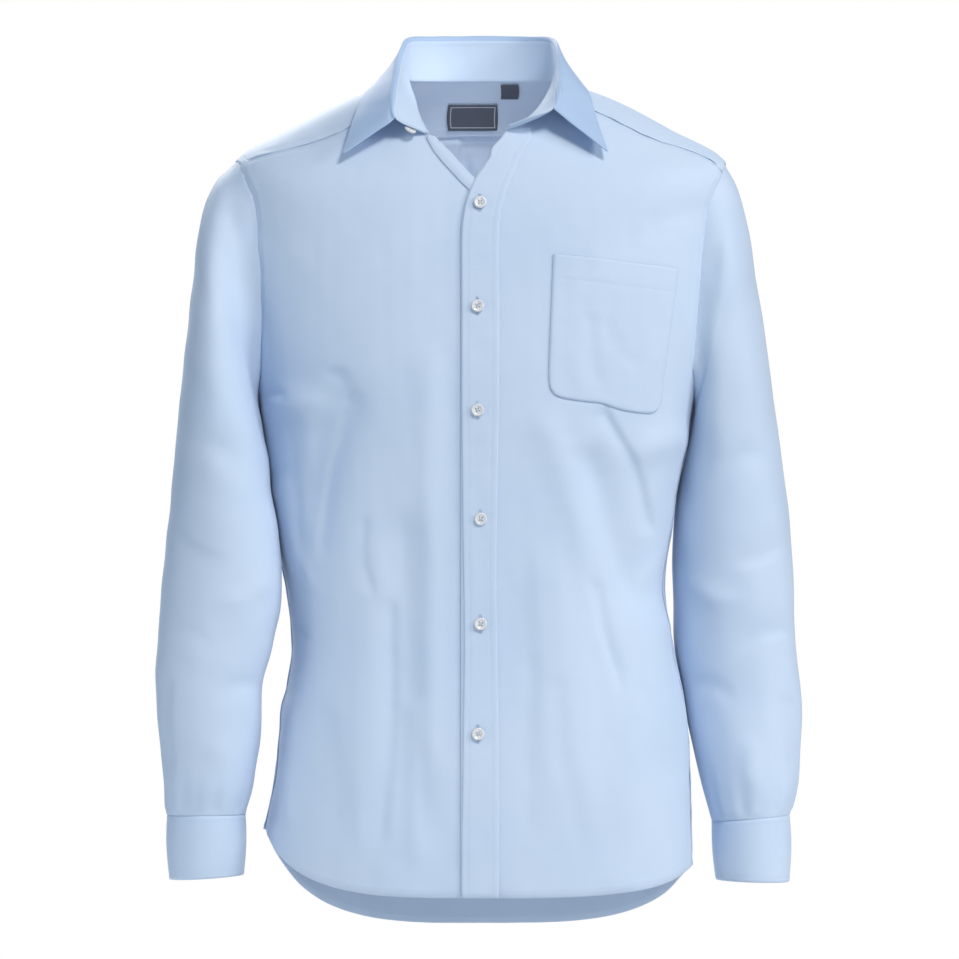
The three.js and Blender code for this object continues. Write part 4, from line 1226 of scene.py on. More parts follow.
@dataclass
class Body:
    """Fronts, placket, turned edge, back and yoke."""

    kit: ShirtKit
    front_grid: tuple[int, int] = (100, 250)
    back_grid: tuple[int, int] = (180, 200)
    yoke_grid: tuple[int, int] = (160, 60)
    pleat_half_width: float = 18.0
    pleat_height: float = 4.5
    pleat_top: float = -38.0
    pleat_fade: float = 260.0
    placket_stitch: float = 5.5
    seam_stitch: float = 1.6
    armhole_stitch: float = 8.0
    front_cut: tuple[float, float] = (0.29, 0.74)
    back_cut: tuple[float, float] = (0.56, 0.75)
    yoke_cut: tuple[float, float] = (0.50, 0.19)
    placket_cut: tuple[float, float] = (0.035, 0.70)

    def __post_init__(self) -> None:
        """Works out the courses that the panels share."""
        form = self.kit.form
        stations = self.neck_places()
        scale = np.array([TURN_SCALE, 1.0])
        self.neck_at = lambda station: spline(stations * scale, np.asarray(station, float)) / scale
        self.armhole_front = {}
        self.armhole_back = {}
        self.over_shoulder = {}
        self.side_seam = {}
        for side in Side:
            turn = 0.5 * side.sign
            underarm = np.array([turn, float(form.level_at(turn, UNDERARM_Z))])
            front = form.seen(ARMHOLE_FRONT[side])
            back = form.seen(ARMHOLE_BACK[side], True)
            if side is Side.LEFT:
                back = back + np.array([2.0, 0.0])
            self.armhole_front[side] = course_through(np.vstack([underarm, front[::-1]]))
            self.armhole_back[side] = course_through(np.vstack([underarm, back[::-1]]))
            self.over_shoulder[side] = course_through(
                np.vstack([front[0], [turn, SHOULDER_LEVEL], back[0]]))
            foot = form.hem(np.array([turn]))[0]
            self.side_seam[side] = straight(foot, underarm)

    def neck_places(self) -> Array:
        """Places of the collar stations along the neckline."""
        rows = []
        for index, station in enumerate(STATIONS):
            place = self.kit.form.seen([station.neck], station.behind)[0]
            past = index > LEAF_LAST - 3 and not station.behind
            rows.append(place - np.array([2.0 if past else 0.0, 0.0]))
        return np.array(rows)

    def neck_course(self, first: float, last: float) -> Course:
        """Neckline between two collar stations."""
        return lambda shares: self.neck_at(first + (last - first) * np.asarray(shares, float))

    def edge_turn(self, x: float, level: Array) -> Array:
        """Turn of a straight front edge at given levels."""
        height = self.kit.form.point(np.zeros_like(level), level)[..., 2]
        points = np.stack([np.full(np.shape(level), x), height], -1)
        return self.kit.form.seen(points)[:, 0]

    def front_places(self, side: Side, edge: Sequence[Seen]) -> Array:
        """Places of one front between its hem, edge, neckline, yoke seam, armhole and side seam."""
        form = self.kit.form
        turn = 0.5 * side.sign
        low = form.level_at(np.zeros(1), FRONT_HEM_Z)
        first_turn = float(self.edge_turn(edge[0][0], low)[0])
        hem = lambda shares: form.hem(first_turn + (turn - first_turn) * np.asarray(shares, float))
        low_level = float(hem(np.zeros(1))[0, 1])
        high_level = float(form.level_at(turn, UNDERARM_Z))

        def low_edge(shares: Array) -> Array:
            """Front edge from the hem to the level of the underarm."""
            level = low_level + (high_level - low_level) * np.asarray(shares, float)
            return np.stack([self.edge_turn(edge[0][0], level), level], axis=-1)

        start = LAST_STATION if side is Side.LEFT else 0
        neck = shifted(self.neck_course(start, YOKE_NECK[side]), 2.0 if side is Side.LEFT else 0.0, 0.0)
        high_edge = course_through(np.vstack([low_edge(np.ones(1)), form.seen(edge[1:])]))
        yoke = shifted(backwards(form.course(YOKE_SEAM[side])), 0.0, LEVEL_TUCK)
        start_side = joined((low_edge, BODY_SHARE), (high_edge, 1 - BODY_SHARE - NECK_SHARE),
                            (neck, NECK_SHARE))
        end = joined((self.side_seam[side], BODY_SHARE), (self.armhole_front[side], 1 - BODY_SHARE))
        u, v = (np.linspace(0, 1, count + 1) for count in self.front_grid)
        return patch(hem, yoke, start_side, end, u, v)

    def under_front(self, places: Array) -> Array:
        """How far the right front lies inside the form, under the left one."""
        x = self.kit.form.point(places[..., 0], places[..., 1])[..., 0]
        return UNDER_FRONT_DEPTH * smooth(UNDER_FRONT_FREE_X, UNDER_FRONT_FULL_X, x)

    def seam_relief(self, cloth: ClothGrid, edges: dict[Edge, float], seed: int) -> Array:
        """Relief along sewn edges: the seam sinks, its allowance lies proud and puckers a little.

        Args:
            cloth: the plain panel.
            edges: its sewn edges, each with the depth to which it sinks.
            seed: fixes the puckers.

        Returns:
            How far each point stands out.
        """
        total = np.zeros(cloth.points.shape[:2])
        puckers = ripple(cloth.points, 15.0, seed)
        for edge, depth in edges.items():
            inset = cloth.inset(edge)
            total -= depth * (1 - smooth(3.0, 6.0, inset))
            total += 0.3 * smooth(4.0, 6.0, inset) * (1 - smooth(8.0, 11.0, inset))
            total += 0.25 * puckers * np.exp(-((inset / 11.0) ** 2))
        return total

    def hem_thickness(self, cloth: ClothGrid, base: float) -> Array:
        """Thickness of a panel with a turned hem along its bottom."""
        inset = cloth.inset(Edge.BOTTOM)
        return base + 0.8 * (1 - smooth(HEM_WIDTH - 0.8, HEM_WIDTH + 0.8, inset))

    def hem_relief(self, cloth: ClothGrid, seed: int) -> Array:
        """Stitched groove and slight waves of the hem."""
        inset = cloth.inset(Edge.BOTTOM)
        groove = -0.3 * np.exp(-(((inset - HEM_WIDTH) / 1.1) ** 2))
        return groove + 0.55 * ripple(cloth.points, 38.0, seed) * np.exp(-((inset / 26.0) ** 2))

    def add_front(self, side: Side) -> ClothGrid:
        """Builds one front.

        Args:
            side: the wearer's side.

        Returns:
            The outer face.
        """
        left = side is Side.LEFT
        places = self.front_places(side, FRONT_EDGE_LEFT if left else FRONT_EDGE_RIGHT)
        depth = 0.0 if left else self.under_front(places)
        plain = ClothGrid(self.kit.form.cloth(places, depth), side.sign)
        relief = self.seam_relief(plain, {Edge.END: 0.2, Edge.TOP: 0.3}, 11)
        relief += self.hem_relief(plain, 13)
        cloth = plain.moved(relief)
        self.kit.add_cloth(f"front_{side.word}_cloth", cloth, self.hem_thickness(cloth, CLOTH),
                           [f"front_{side.word}"], self.front_cut, 0.175)
        sewing = self.kit.sewing
        stitches = sewing.seam(cloth.line(Edge.BOTTOM, HEM_WIDTH))
        stitches += sewing.seam(cloth.line(Edge.END, self.armhole_stitch))
        sewing.sew(f"front_{side.word}_stitches", stitches)
        return cloth

    def add_placket(self) -> None:
        """Builds the placket down the left front and its stitches."""
        form = self.kit.form

        def to_hem(points: Sequence[Seen]) -> Course:
            """Course from the hem up along an edge of the placket."""
            foot, knee = form.seen([(points[0][0], FRONT_HEM_Z + 1), points[0]])
            low = BODY_SHARE / (1 - NECK_SHARE)
            return joined((straight(foot, knee), low), (form.course(points), 1 - low))

        first = shifted(to_hem(FRONT_EDGE_LEFT), PLACKET_TURN, PLACKET_LEVEL)
        second = shifted(to_hem(PLACKET_SEAM), 0.0, PLACKET_LEVEL)
        ends = np.array([0.0, 1.0])
        a, b = first(ends), second(ends)
        u, v = np.linspace(0, 1, 29), np.linspace(0, 1, 261)
        places = patch(straight(a[0], b[0]), straight(a[1], b[1]), first, second, u, v)
        plain = ClothGrid(form.cloth(places, LAID_ON))
        relief = np.zeros(plain.points.shape[:2])
        for edge in (Edge.START, Edge.END):
            inset = plain.inset(edge)
            relief -= 0.14 * np.exp(-(((inset - self.placket_stitch) / 1.0) ** 2))
            relief -= 0.25 * np.exp(-((inset / 0.8) ** 2))
        relief += 0.12 * ripple(plain.points, 22.0, 17)
        cloth = plain.moved(relief)
        self.kit.add_cloth("placket_cloth", cloth, TAPE, ["placket"], self.placket_cut)
        sewing = self.kit.sewing
        stitches = sewing.seam(cloth.line(Edge.START, self.placket_stitch))
        stitches += sewing.seam(cloth.line(Edge.END, self.placket_stitch))
        sewing.sew("placket_stitches", stitches)

    def add_turned_edge(self) -> None:
        """Builds the edge of the right front that is turned outwards below the collar."""
        form = self.kit.form
        first, second = form.course(TURNED_EDGE_OUTER), form.course(TURNED_EDGE_INNER)
        ends = np.array([0.0, 1.0])
        a, b = first(ends), second(ends)
        u, v = np.linspace(0, 1, 13), np.linspace(0, 1, 61)
        places = patch(straight(a[0], b[0]), straight(a[1], b[1]), first, second, u, v)
        depth = self.under_front(places) + SEAM_GAP + CLOTH
        cloth = ClothGrid(form.cloth(places, depth))
        relief = 0.9 * np.sin(np.pi * np.linspace(0, 1, 13))[:, None]
        cloth = cloth.moved(relief)
        self.kit.add_cloth("turned_edge_cloth", cloth, CLOTH, ["turned_edge"], (0.011, 0.078))
        stitches = self.kit.sewing.seam(cloth.line(Edge.END, self.seam_stitch))
        self.kit.sewing.sew("turned_edge_stitches", stitches)

    def pleat(self, places: Array) -> Array:
        """Height of the box pleat at places of the back, with steep edges near the yoke."""
        point = self.kit.form.point(places[..., 0], places[..., 1])
        x, z = point[..., 0], point[..., 2]
        down = smooth(self.pleat_top - self.pleat_fade, self.pleat_top, z)
        edge = 1.6 + 12.0 * (1 - down)
        half = self.pleat_half_width
        wide = 1 - smooth(0.0, 1.0, (np.abs(x) - half) / edge)
        return self.pleat_height * wide * down

    def add_back(self) -> None:
        """Builds the back with its box pleat."""
        form = self.kit.form
        top = shifted(form.course(YOKE_SEAM_BACK, True), 0.0, LEVEL_TUCK)
        first, last = -0.5 + TURN_TUCK, -1.5 - TURN_TUCK
        hem = lambda shares: form.hem(first + (last - first) * np.asarray(shares, float))
        sides = {
            side: shifted(joined((shifted(self.side_seam[side], -side.sign * TURN_TUCK, 0.0), BODY_SHARE),
                                 (self.armhole_back[side], 1 - BODY_SHARE)),
                          -2.0 if side is Side.LEFT else 0.0, 0.0)
            for side in Side
        }
        columns, rows = self.back_grid
        even = np.linspace(0, 1, columns + 1)
        u = even + 0.06 * np.sin(2 * np.pi * even)
        v = np.linspace(0, 1, rows + 1)
        places = patch(hem, top, sides[Side.RIGHT], sides[Side.LEFT], u, v)
        flat = ClothGrid(form.cloth(places, 0.0))
        pressed = 0.4 + 0.6 * smooth(0.0, 14.0, flat.inset(Edge.TOP))
        plain = ClothGrid(form.cloth(places, self.pleat(places) * pressed))
        relief = self.seam_relief(plain, {Edge.START: 0.4, Edge.END: 0.4, Edge.TOP: 1.3}, 19)
        relief += self.hem_relief(plain, 23)
        cloth = plain.moved(relief)
        self.kit.add_cloth("back_cloth", cloth, self.hem_thickness(cloth, CLOTH), ["back"],
                           self.back_cut, 0.355)
        sewing = self.kit.sewing
        stitches = sewing.seam(cloth.line(Edge.BOTTOM, HEM_WIDTH))
        sewing.sew("back_stitches", stitches)

    def add_yoke(self) -> ClothGrid:
        """Builds the yoke over the shoulders.

        Returns:
            The outer face.
        """
        form = self.kit.form
        left, right = Side.LEFT, Side.RIGHT
        outer = joined(
            (self.over_shoulder[right], SHOULDER_SHARE),
            (form.course(YOKE_SEAM_BACK, True), 1 - 2 * SHOULDER_SHARE),
            (shifted(backwards(self.over_shoulder[left]), -2.0, 0.0), SHOULDER_SHARE),
        )
        inner = self.neck_course(YOKE_NECK[right], YOKE_NECK[left])
        start = form.course(YOKE_SEAM[right])
        end = shifted(form.course(YOKE_SEAM[left]), -2.0, 0.0)
        u, v = (np.linspace(0, 1, count + 1) for count in self.yoke_grid)
        places = patch(outer, inner, start, end, u, v)
        plain = ClothGrid(form.cloth(places, 0.0))
        relief = self.seam_relief(plain, {Edge.START: -0.15, Edge.END: -0.15, Edge.BOTTOM: -0.15}, 29)
        cloth = plain.moved(relief)
        self.kit.add_cloth("yoke_cloth", cloth, CLOTH, ["yoke"], self.yoke_cut, 0.060)
        sewing = self.kit.sewing
        stitches = sewing.seam(cloth.line(Edge.START, self.seam_stitch))
        stitches += sewing.seam(cloth.line(Edge.END, self.seam_stitch))
        stitches += sewing.seam(cloth.line(Edge.BOTTOM, self.seam_stitch, 0.0, 90.0))
        sewing.sew("yoke_stitches", stitches)
        return cloth

    def build(self) -> None:
        """Builds all panels of the body."""
        self.add_front(Side.LEFT)
        self.add_front(Side.RIGHT)
        self.add_placket()
        self.add_turned_edge()
        self.add_back()
        self.add_yoke()


@dataclass
class Pocket:
    """Chest pocket on the left front, with a deep top hem."""

    kit: ShirtKit
    bottom: tuple[Seen, ...] = ((66.6, -283.2), (71.5, -286), (80, -288.2), (96, -290.4), (110, -291.8),
                                (118, -294.4), (130, -298.2), (142, -300.2), (154, -301.2), (159.5, -300),
                                (163.5, -296.5))
    top: tuple[Seen, ...] = ((67, -156.3), (110, -160.6), (146, -164.8), (181.8, -169.2))
    left: tuple[Seen, ...] = ((66.6, -283.2), (63.9, -277.5), (62.8, -268), (63.2, -250), (64.5, -215),
                              (67, -156.3))
    right: tuple[Seen, ...] = ((163.5, -296.5), (166, -290), (167.3, -280), (169, -262), (173.5, -228),
                               (181.8, -169.2))
    lift: float = 0.5
    hem_width: float = 21.0
    edge_stitch: float = 1.5
    cut: tuple[float, float] = (0.118, 0.136)

    def build(self) -> None:
        """Builds the pocket and its stitches."""
        form = self.kit.form
        u, v = np.linspace(0, 1, 61), np.linspace(0, 1, 71)
        places = patch(form.course(self.bottom), form.course(self.top), form.course(self.left),
                       form.course(self.right), u, v)
        plain = ClothGrid(form.cloth(places, LAID_ON + self.lift))
        relief = np.zeros(plain.points.shape[:2])
        for edge in (Edge.START, Edge.END, Edge.BOTTOM):
            inset = plain.inset(edge)
            relief -= 0.55 * np.exp(-((inset / 1.8) ** 2))
        top = plain.inset(Edge.TOP)
        relief -= 0.25 * np.exp(-(((top - self.hem_width) / 1.0) ** 2))
        x, z = plain.points[..., 0], plain.points[..., 2]
        creases = (Fold((100, -208), (112, -288), 7, -0.9, 2), Fold((112, -214), (150, -268), 8, -0.8, 3),
                   Fold((84, -240), (96, -288), 8, 0.6))
        cloth = plain.moved(relief + fold_height(creases, x, z))
        self.kit.add_cloth("pocket_cloth", cloth, TAPE, ["pocket"], self.cut)
        sewing = self.kit.sewing
        stitches = sewing.seam(cloth.line(Edge.TOP, self.hem_width, 0.0, 2.0))
        for edge in (Edge.START, Edge.END, Edge.BOTTOM):
            stitches += sewing.seam(cloth.line(edge, self.edge_stitch))
        sewing.sew("pocket_stitches", stitches)


@dataclass
class Collar:
    """Collar band on the neckline, and the leaf that rolls over it."""

    kit: ShirtKit
    body: Body
    band_lift: float = 0.3
    band_bulge: float = 1.5
    roll_start: float = 0.6
    roll_rise: float = 2.9
    roll_top: float = 4.8
    roll_out: float = 3.4
    roll_fall: float = 3.2
    leaf_bulge: float = 2.0
    leaf_stitch: float = 2.2
    corner_roll: float = 0.35
    band_cut: tuple[float, float] = (0.47, 0.038)
    leaf_cut: tuple[float, float] = (0.44, 0.062)

    def curve(self, key: str, first: int, last: int, stations: Array) -> Array:
        """Points of one line round the collar.

        Args:
            key: the line's name in a station.
            first: first station that has it.
            last: last station that has it.
            stations: where on the line.

        Returns:
            One point for each place.
        """
        rows = np.array([getattr(station, key) for station in STATIONS[first:last + 1]], float)
        return even_spline(rows[:, None], (stations - first) / (last - first))[0]

    def band_top(self, stations: Array) -> Array:
        """Top of the band."""
        return self.curve("top", 0, LAST_STATION, stations)

    def band_foot(self, stations: Array) -> Array:
        """Foot of the band, just above the neckline."""
        foot = self.kit.form.cloth(self.body.neck_at(stations), 0.0)
        return foot + self.band_lift * unit(self.band_top(stations) - foot)

    def add_band(self) -> ClothGrid:
        """Builds the band.

        Returns:
            Its outer face.
        """
        stations = np.linspace(0, LAST_STATION, 226)
        v = np.linspace(0, 1, 17)
        foot, top = self.band_foot(stations), self.band_top(stations)
        plain = ClothGrid(foot[:, None] + (top - foot)[:, None] * v[None, :, None], -1)
        relief = np.broadcast_to(self.band_bulge * np.sin(np.pi * v), plain.points.shape[:2]).copy()
        for edge in Edge:
            relief -= 0.3 * np.exp(-((plain.inset(edge) / 1.0) ** 2))
        cloth = plain.moved(relief)
        self.kit.add_cloth("collar_band_cloth", cloth, FUSED_CLOTH, ["collar_band"], self.band_cut,
                           0.0145, fused=True)
        sewing = self.kit.sewing
        stitches = []
        for face in (0.02, -FUSED_CLOTH - 0.02):
            for edge, inset in ((Edge.TOP, 4.0), (Edge.BOTTOM, 1.6), (Edge.START, 2.0), (Edge.END, 2.0)):
                stitches += sewing.seam(cloth.line(edge, inset, face))
        sewing.sew("collar_band_stitches", stitches)
        return cloth

    def leaf_profile(self, stations: Array, shares: Array) -> Array:
        """Leaf from the top of the band, over the roll and down to its edge."""
        top, foot = self.band_top(stations), self.band_foot(stations)
        step = 0.02
        round_ = unit(self.band_top(stations + step) - self.band_top(stations - step))
        up = unit(top - foot)
        out = unit(np.cross(up, round_))
        edge = self.curve("edge", LEAF_FIRST, LEAF_LAST, stations)
        fall = unit(edge - top)
        proud = unit(np.cross(round_, fall))

        corner = np.minimum(stations - LEAF_FIRST, LEAF_LAST - stations)
        size = (self.corner_roll + (1 - self.corner_roll) * smooth(0.0, 1.2, corner))[:, None]

        def at(outward: float, upward: float) -> Array:
            """Point beside the top of the band."""
            return top + out * outward + up * upward * size

        def along(share: float, lift: float) -> Array:
            """Point on the way down to the edge."""
            return top + (edge - top) * share + proud * lift * size

        controls = np.stack([
            at(-FUSED_CLOTH, self.roll_start), at(-0.6 * FUSED_CLOTH, self.roll_rise),
            at(0.3 * self.roll_out, self.roll_top), along(0.1, self.roll_fall),
            along(0.35, self.leaf_bulge), along(0.7, 0.6 * self.leaf_bulge), edge,
        ])
        return even_spline(controls, shares)

    def add_leaf(self) -> None:
        """Builds the leaf and its stitches."""
        stations = np.linspace(LEAF_FIRST, LEAF_LAST, 217)
        shares = np.concatenate([np.linspace(0, 0.5, 25)[:-1], np.linspace(0.5, 1, 25)])
        plain = ClothGrid(self.leaf_profile(stations, shares), 1)
        relief = 0.12 * ripple(plain.points, 30.0, 31)
        for edge in (Edge.TOP, Edge.START, Edge.END):
            inset = plain.inset(edge)
            relief -= 0.4 * np.exp(-(((inset - self.leaf_stitch) / 0.8) ** 2))
            relief += 0.45 * np.exp(-(((inset - 0.7) / 0.8) ** 2))
        cloth = plain.moved(relief)
        leaf = self.kit.add_cloth("collar_leaf_cloth", cloth, FUSED_CLOTH, ["collar_leaf"], self.leaf_cut,
                                  0.024, fused=True)
        # The leaf gets the darker copy of the poplin: painted shade over the whole leaf.
        leaf.data.materials[0] = self.kit.leaf
        sewing = self.kit.sewing
        stitches = sewing.seam(cloth.line(Edge.TOP, self.leaf_stitch, 0.02, self.leaf_stitch))
        for edge in (Edge.START, Edge.END):
            trail = cloth.line(edge, self.leaf_stitch, 0.02)
            run = np.concatenate([[0.0], np.cumsum(np.linalg.norm(np.diff(trail, axis=0), axis=1))])
            stitches += sewing.seam(trail[(run > 6.0) & (run < run[-1] - self.leaf_stitch)])
        sewing.sew("collar_leaf_stitches", stitches)

    def build(self) -> ClothGrid:
        """Builds the collar.

        Returns:
            The outer face of the band.
        """
        band = self.add_band()
        self.add_leaf()
        return band


@dataclass
class SleeveSet:
    """One sleeve with its placket and cuff."""

    kit: ShirtKit
    body: Body
    side: Side
    around: int = 96
    rows: int = 260
    sink: float = 0.5
    tuck: float = 2.0
    end_share: float = 0.9994
    opening_share: float = 0.85
    placket_half_width: float = 12.5
    placket_length: float = 150.0
    placket_lift: float = 0.2
    lap: float = 0.1
    cuff_stitch: float = 5.0
    sleeve_cut: tuple[float, float] = (0.40, 0.60)
    cuff_cut: tuple[float, float] = (0.26, 0.063)
    placket_cut: tuple[float, float] = (0.025, 0.15)

    def section_points(self, section: Section, share: Array) -> Array:
        """Points round a section; a quarter turn faces the front."""
        angle = 2 * np.pi * share
        power = 2 / section.square
        across = 0.5 + 0.5 * signed_power(np.cos(angle), power)
        ahead = signed_power(np.sin(angle), power)
        (outer_x, outer_z), (inner_x, inner_z) = section.outer, section.inner
        return np.stack([
            inner_x + (outer_x - inner_x) * across,
            section.middle - section.depth * ahead,
            inner_z + (outer_z - inner_z) * across,
        ], axis=-1)

    def armhole(self, share: Array) -> Array:
        """Places round the armhole from the shoulder, down the front and up the back."""
        body, side = self.body, self.side
        over = body.over_shoulder[side]
        loop = joined(
            (lambda s: over(0.5 - 0.5 * s), TOP_SHARE),
            (backwards(body.armhole_front[side]), 0.5 - TOP_SHARE),
            (body.armhole_back[side], 0.5 - TOP_SHARE),
            (lambda s: over(1 - 0.5 * s), TOP_SHARE),
        )
        return loop(share)

    def surface(self, share: Array, along: Array) -> Array:
        """Points of the plain sleeve at shares round it and along it."""
        sections = (*SLEEVE_SECTIONS[self.side], CUFF_SECTIONS[self.side][0])
        controls = np.stack([self.section_points(section, share) for section in sections])
        start = self.kit.form.cloth(self.armhole(share), -self.sink)
        start = start - self.tuck * unit(controls[0] - start)
        return even_spline(np.concatenate([start[None], controls]), along)

    def folds(self, plain: ClothGrid, share: Array) -> Array:
        """Relief of the sleeve: listed folds in front and behind, ease and cuff tucks."""
        x, z = plain.points[..., 0], plain.points[..., 2]
        ahead = np.sin(2 * np.pi * share)[:, None]
        folds = SLEEVE_FOLDS[self.side]
        front = fold_height(folds, x, z) * smooth(-0.1, 0.5, ahead)
        behind = fold_height(folds, x, z - 14.0) * smooth(-0.1, 0.5, -ahead) * 1.25
        total = front + behind + 0.5 * ripple(plain.points, 48.0, 37 + self.side.sign)
        down, up = plain.inset(Edge.BOTTOM), plain.inset(Edge.TOP)
        ease = np.sin(2 * np.pi * 26 * share)[:, None] * np.cos(2 * np.pi * share)[:, None]
        total += 0.25 * ease * np.exp(-((down / 16.0) ** 2))
        total -= 0.5 * np.exp(-((down / 1.4) ** 2))
        for place in (0.60, 0.68, 0.93):
            gap = (share - place)[:, None] * 240.0
            total -= 2.0 * np.exp(-((gap / 3.0) ** 2)) * np.exp(-((up / 45.0) ** 2))
            total += 1.2 * np.exp(-(((gap - 6.0) / 4.0) ** 2)) * np.exp(-((up / 38.0) ** 2))
        turn = 2 * np.pi * share[:, None]
        gather = np.sin(9 * turn + 1.3) + 0.6 * np.sin(17 * turn)
        total += 0.7 * gather * smooth(0.0, 9.0, up) * np.exp(-((up / 42.0) ** 2))
        beside = smooth(0.045, 0.1, np.abs(share - self.opening_share))[:, None]
        above = smooth(self.placket_length, 1.25 * self.placket_length, up)
        return total * smooth(0.0, 6.0, up) * np.maximum(beside, above)

    def add_sleeve(self) -> None:
        """Builds the sleeve."""
        side = self.side
        turn = np.linspace(0, 1, self.around + 1)
        share = 1 - turn if side is Side.LEFT else turn
        along = np.linspace(0, self.end_share, self.rows + 1)
        plain = ClothGrid(self.surface(share, along), -1, True)
        plain.points[-1] = plain.points[0]
        cloth = plain.moved(self.folds(plain, share))
        cloth.points[-1] = cloth.points[0]
        self.kit.add_cloth(f"sleeve_{side.word}_cloth", cloth, CLOTH, [f"sleeve_{side.word}"],
                           self.sleeve_cut, 0.187)

    def strip_point(self, share: float, along: float) -> Array:
        """One point of the plain sleeve."""
        return self.surface(np.array([share]), np.array([along]))[0, 0]

    def add_placket(self) -> None:
        """Builds the placket over the slit, with its stitches."""
        share, side = self.opening_share, self.side
        foot = self.strip_point(share, self.end_share)
        top = self.end_share
        while np.linalg.norm(self.strip_point(share, top) - foot) < self.placket_length:
            top -= 0.002
        along = np.linspace(self.end_share, top, 71)
        step = 0.01
        middle = self.surface(np.array([share, share + step]), along)
        speed = np.linalg.norm(middle[1] - middle[0], axis=-1) / step
        u = np.linspace(-1, 1, 15)
        shares = share + u[:, None] * side.sign * self.placket_half_width / speed[None]
        points = np.stack([
            np.stack([self.surface(np.array([shares[i, j]]), along[j:j + 1])[0, 0]
                      for j in range(len(along))]) for i in range(len(u))])
        strip = ClothGrid(points, -1)
        relief = np.zeros(strip.points.shape[:2])
        for edge in (Edge.START, Edge.END, Edge.TOP):
            relief -= 0.3 * np.exp(-((strip.inset(edge) / 0.9) ** 2))
        cloth = strip.moved(LAID_ON + self.placket_lift + relief)
        self.kit.add_cloth(f"sleeve_placket_{side.word}_cloth", cloth, TAPE,
                           [f"sleeve_placket_{side.word}"], self.placket_cut)
        sewing = self.kit.sewing
        stitches = []
        for edge in (Edge.START, Edge.END, Edge.TOP):
            stitches += sewing.seam(cloth.line(edge, 1.6))
        trail = cloth.line(Edge.TOP, 26.0)
        stitches += sewing.seam(trail)
        sewing.sew(f"sleeve_placket_{side.word}_stitches", stitches)

    def add_cuff(self) -> None:
        """Builds the cuff, a strip whose end laps over its beginning."""
        top, bottom = CUFF_SECTIONS[self.side]
        u = np.linspace(0, 1, 121)
        v = np.linspace(0.002, 1, 25)
        turn = self.opening_share - self.side.sign * (u * (1 + self.lap) - 0.5 * self.lap)
        share = np.mod(turn, 1.0)
        high, low = self.section_points(top, share), self.section_points(bottom, share)
        plain = ClothGrid(high[:, None] + (low - high)[:, None] * v[None, :, None], -1)
        sunk = (FUSED_CLOTH + 0.4) * (1 - smooth(self.lap, 2.2 * self.lap, u))
        relief = np.broadcast_to(-sunk[:, None], plain.points.shape[:2]).copy()
        relief += 1.1 * np.sin(np.pi * v)[None] + 0.3 * ripple(plain.points, 40.0, 41)
        for edge in Edge:
            inset = plain.inset(edge)
            relief -= 0.3 * np.exp(-((inset / 1.0) ** 2))
            relief -= 0.2 * np.exp(-(((inset - self.cuff_stitch) / 0.9) ** 2))
        cloth = plain.moved(relief)
        self.kit.add_cloth(f"cuff_{self.side.word}_cloth", cloth, FUSED_CLOTH,
                           [f"cuff_{self.side.word}"], self.cuff_cut, fused=True)
        sewing = self.kit.sewing
        stitches = []
        for edge in Edge:
            stitches += sewing.seam(cloth.line(edge, self.cuff_stitch, 0.02, self.cuff_stitch))
        sewing.sew(f"cuff_{self.side.word}_stitches", stitches)

    def build(self) -> None:
        """Builds the sleeve, its placket and its cuff."""
        self.add_sleeve()
        self.add_placket()
        self.add_cuff()


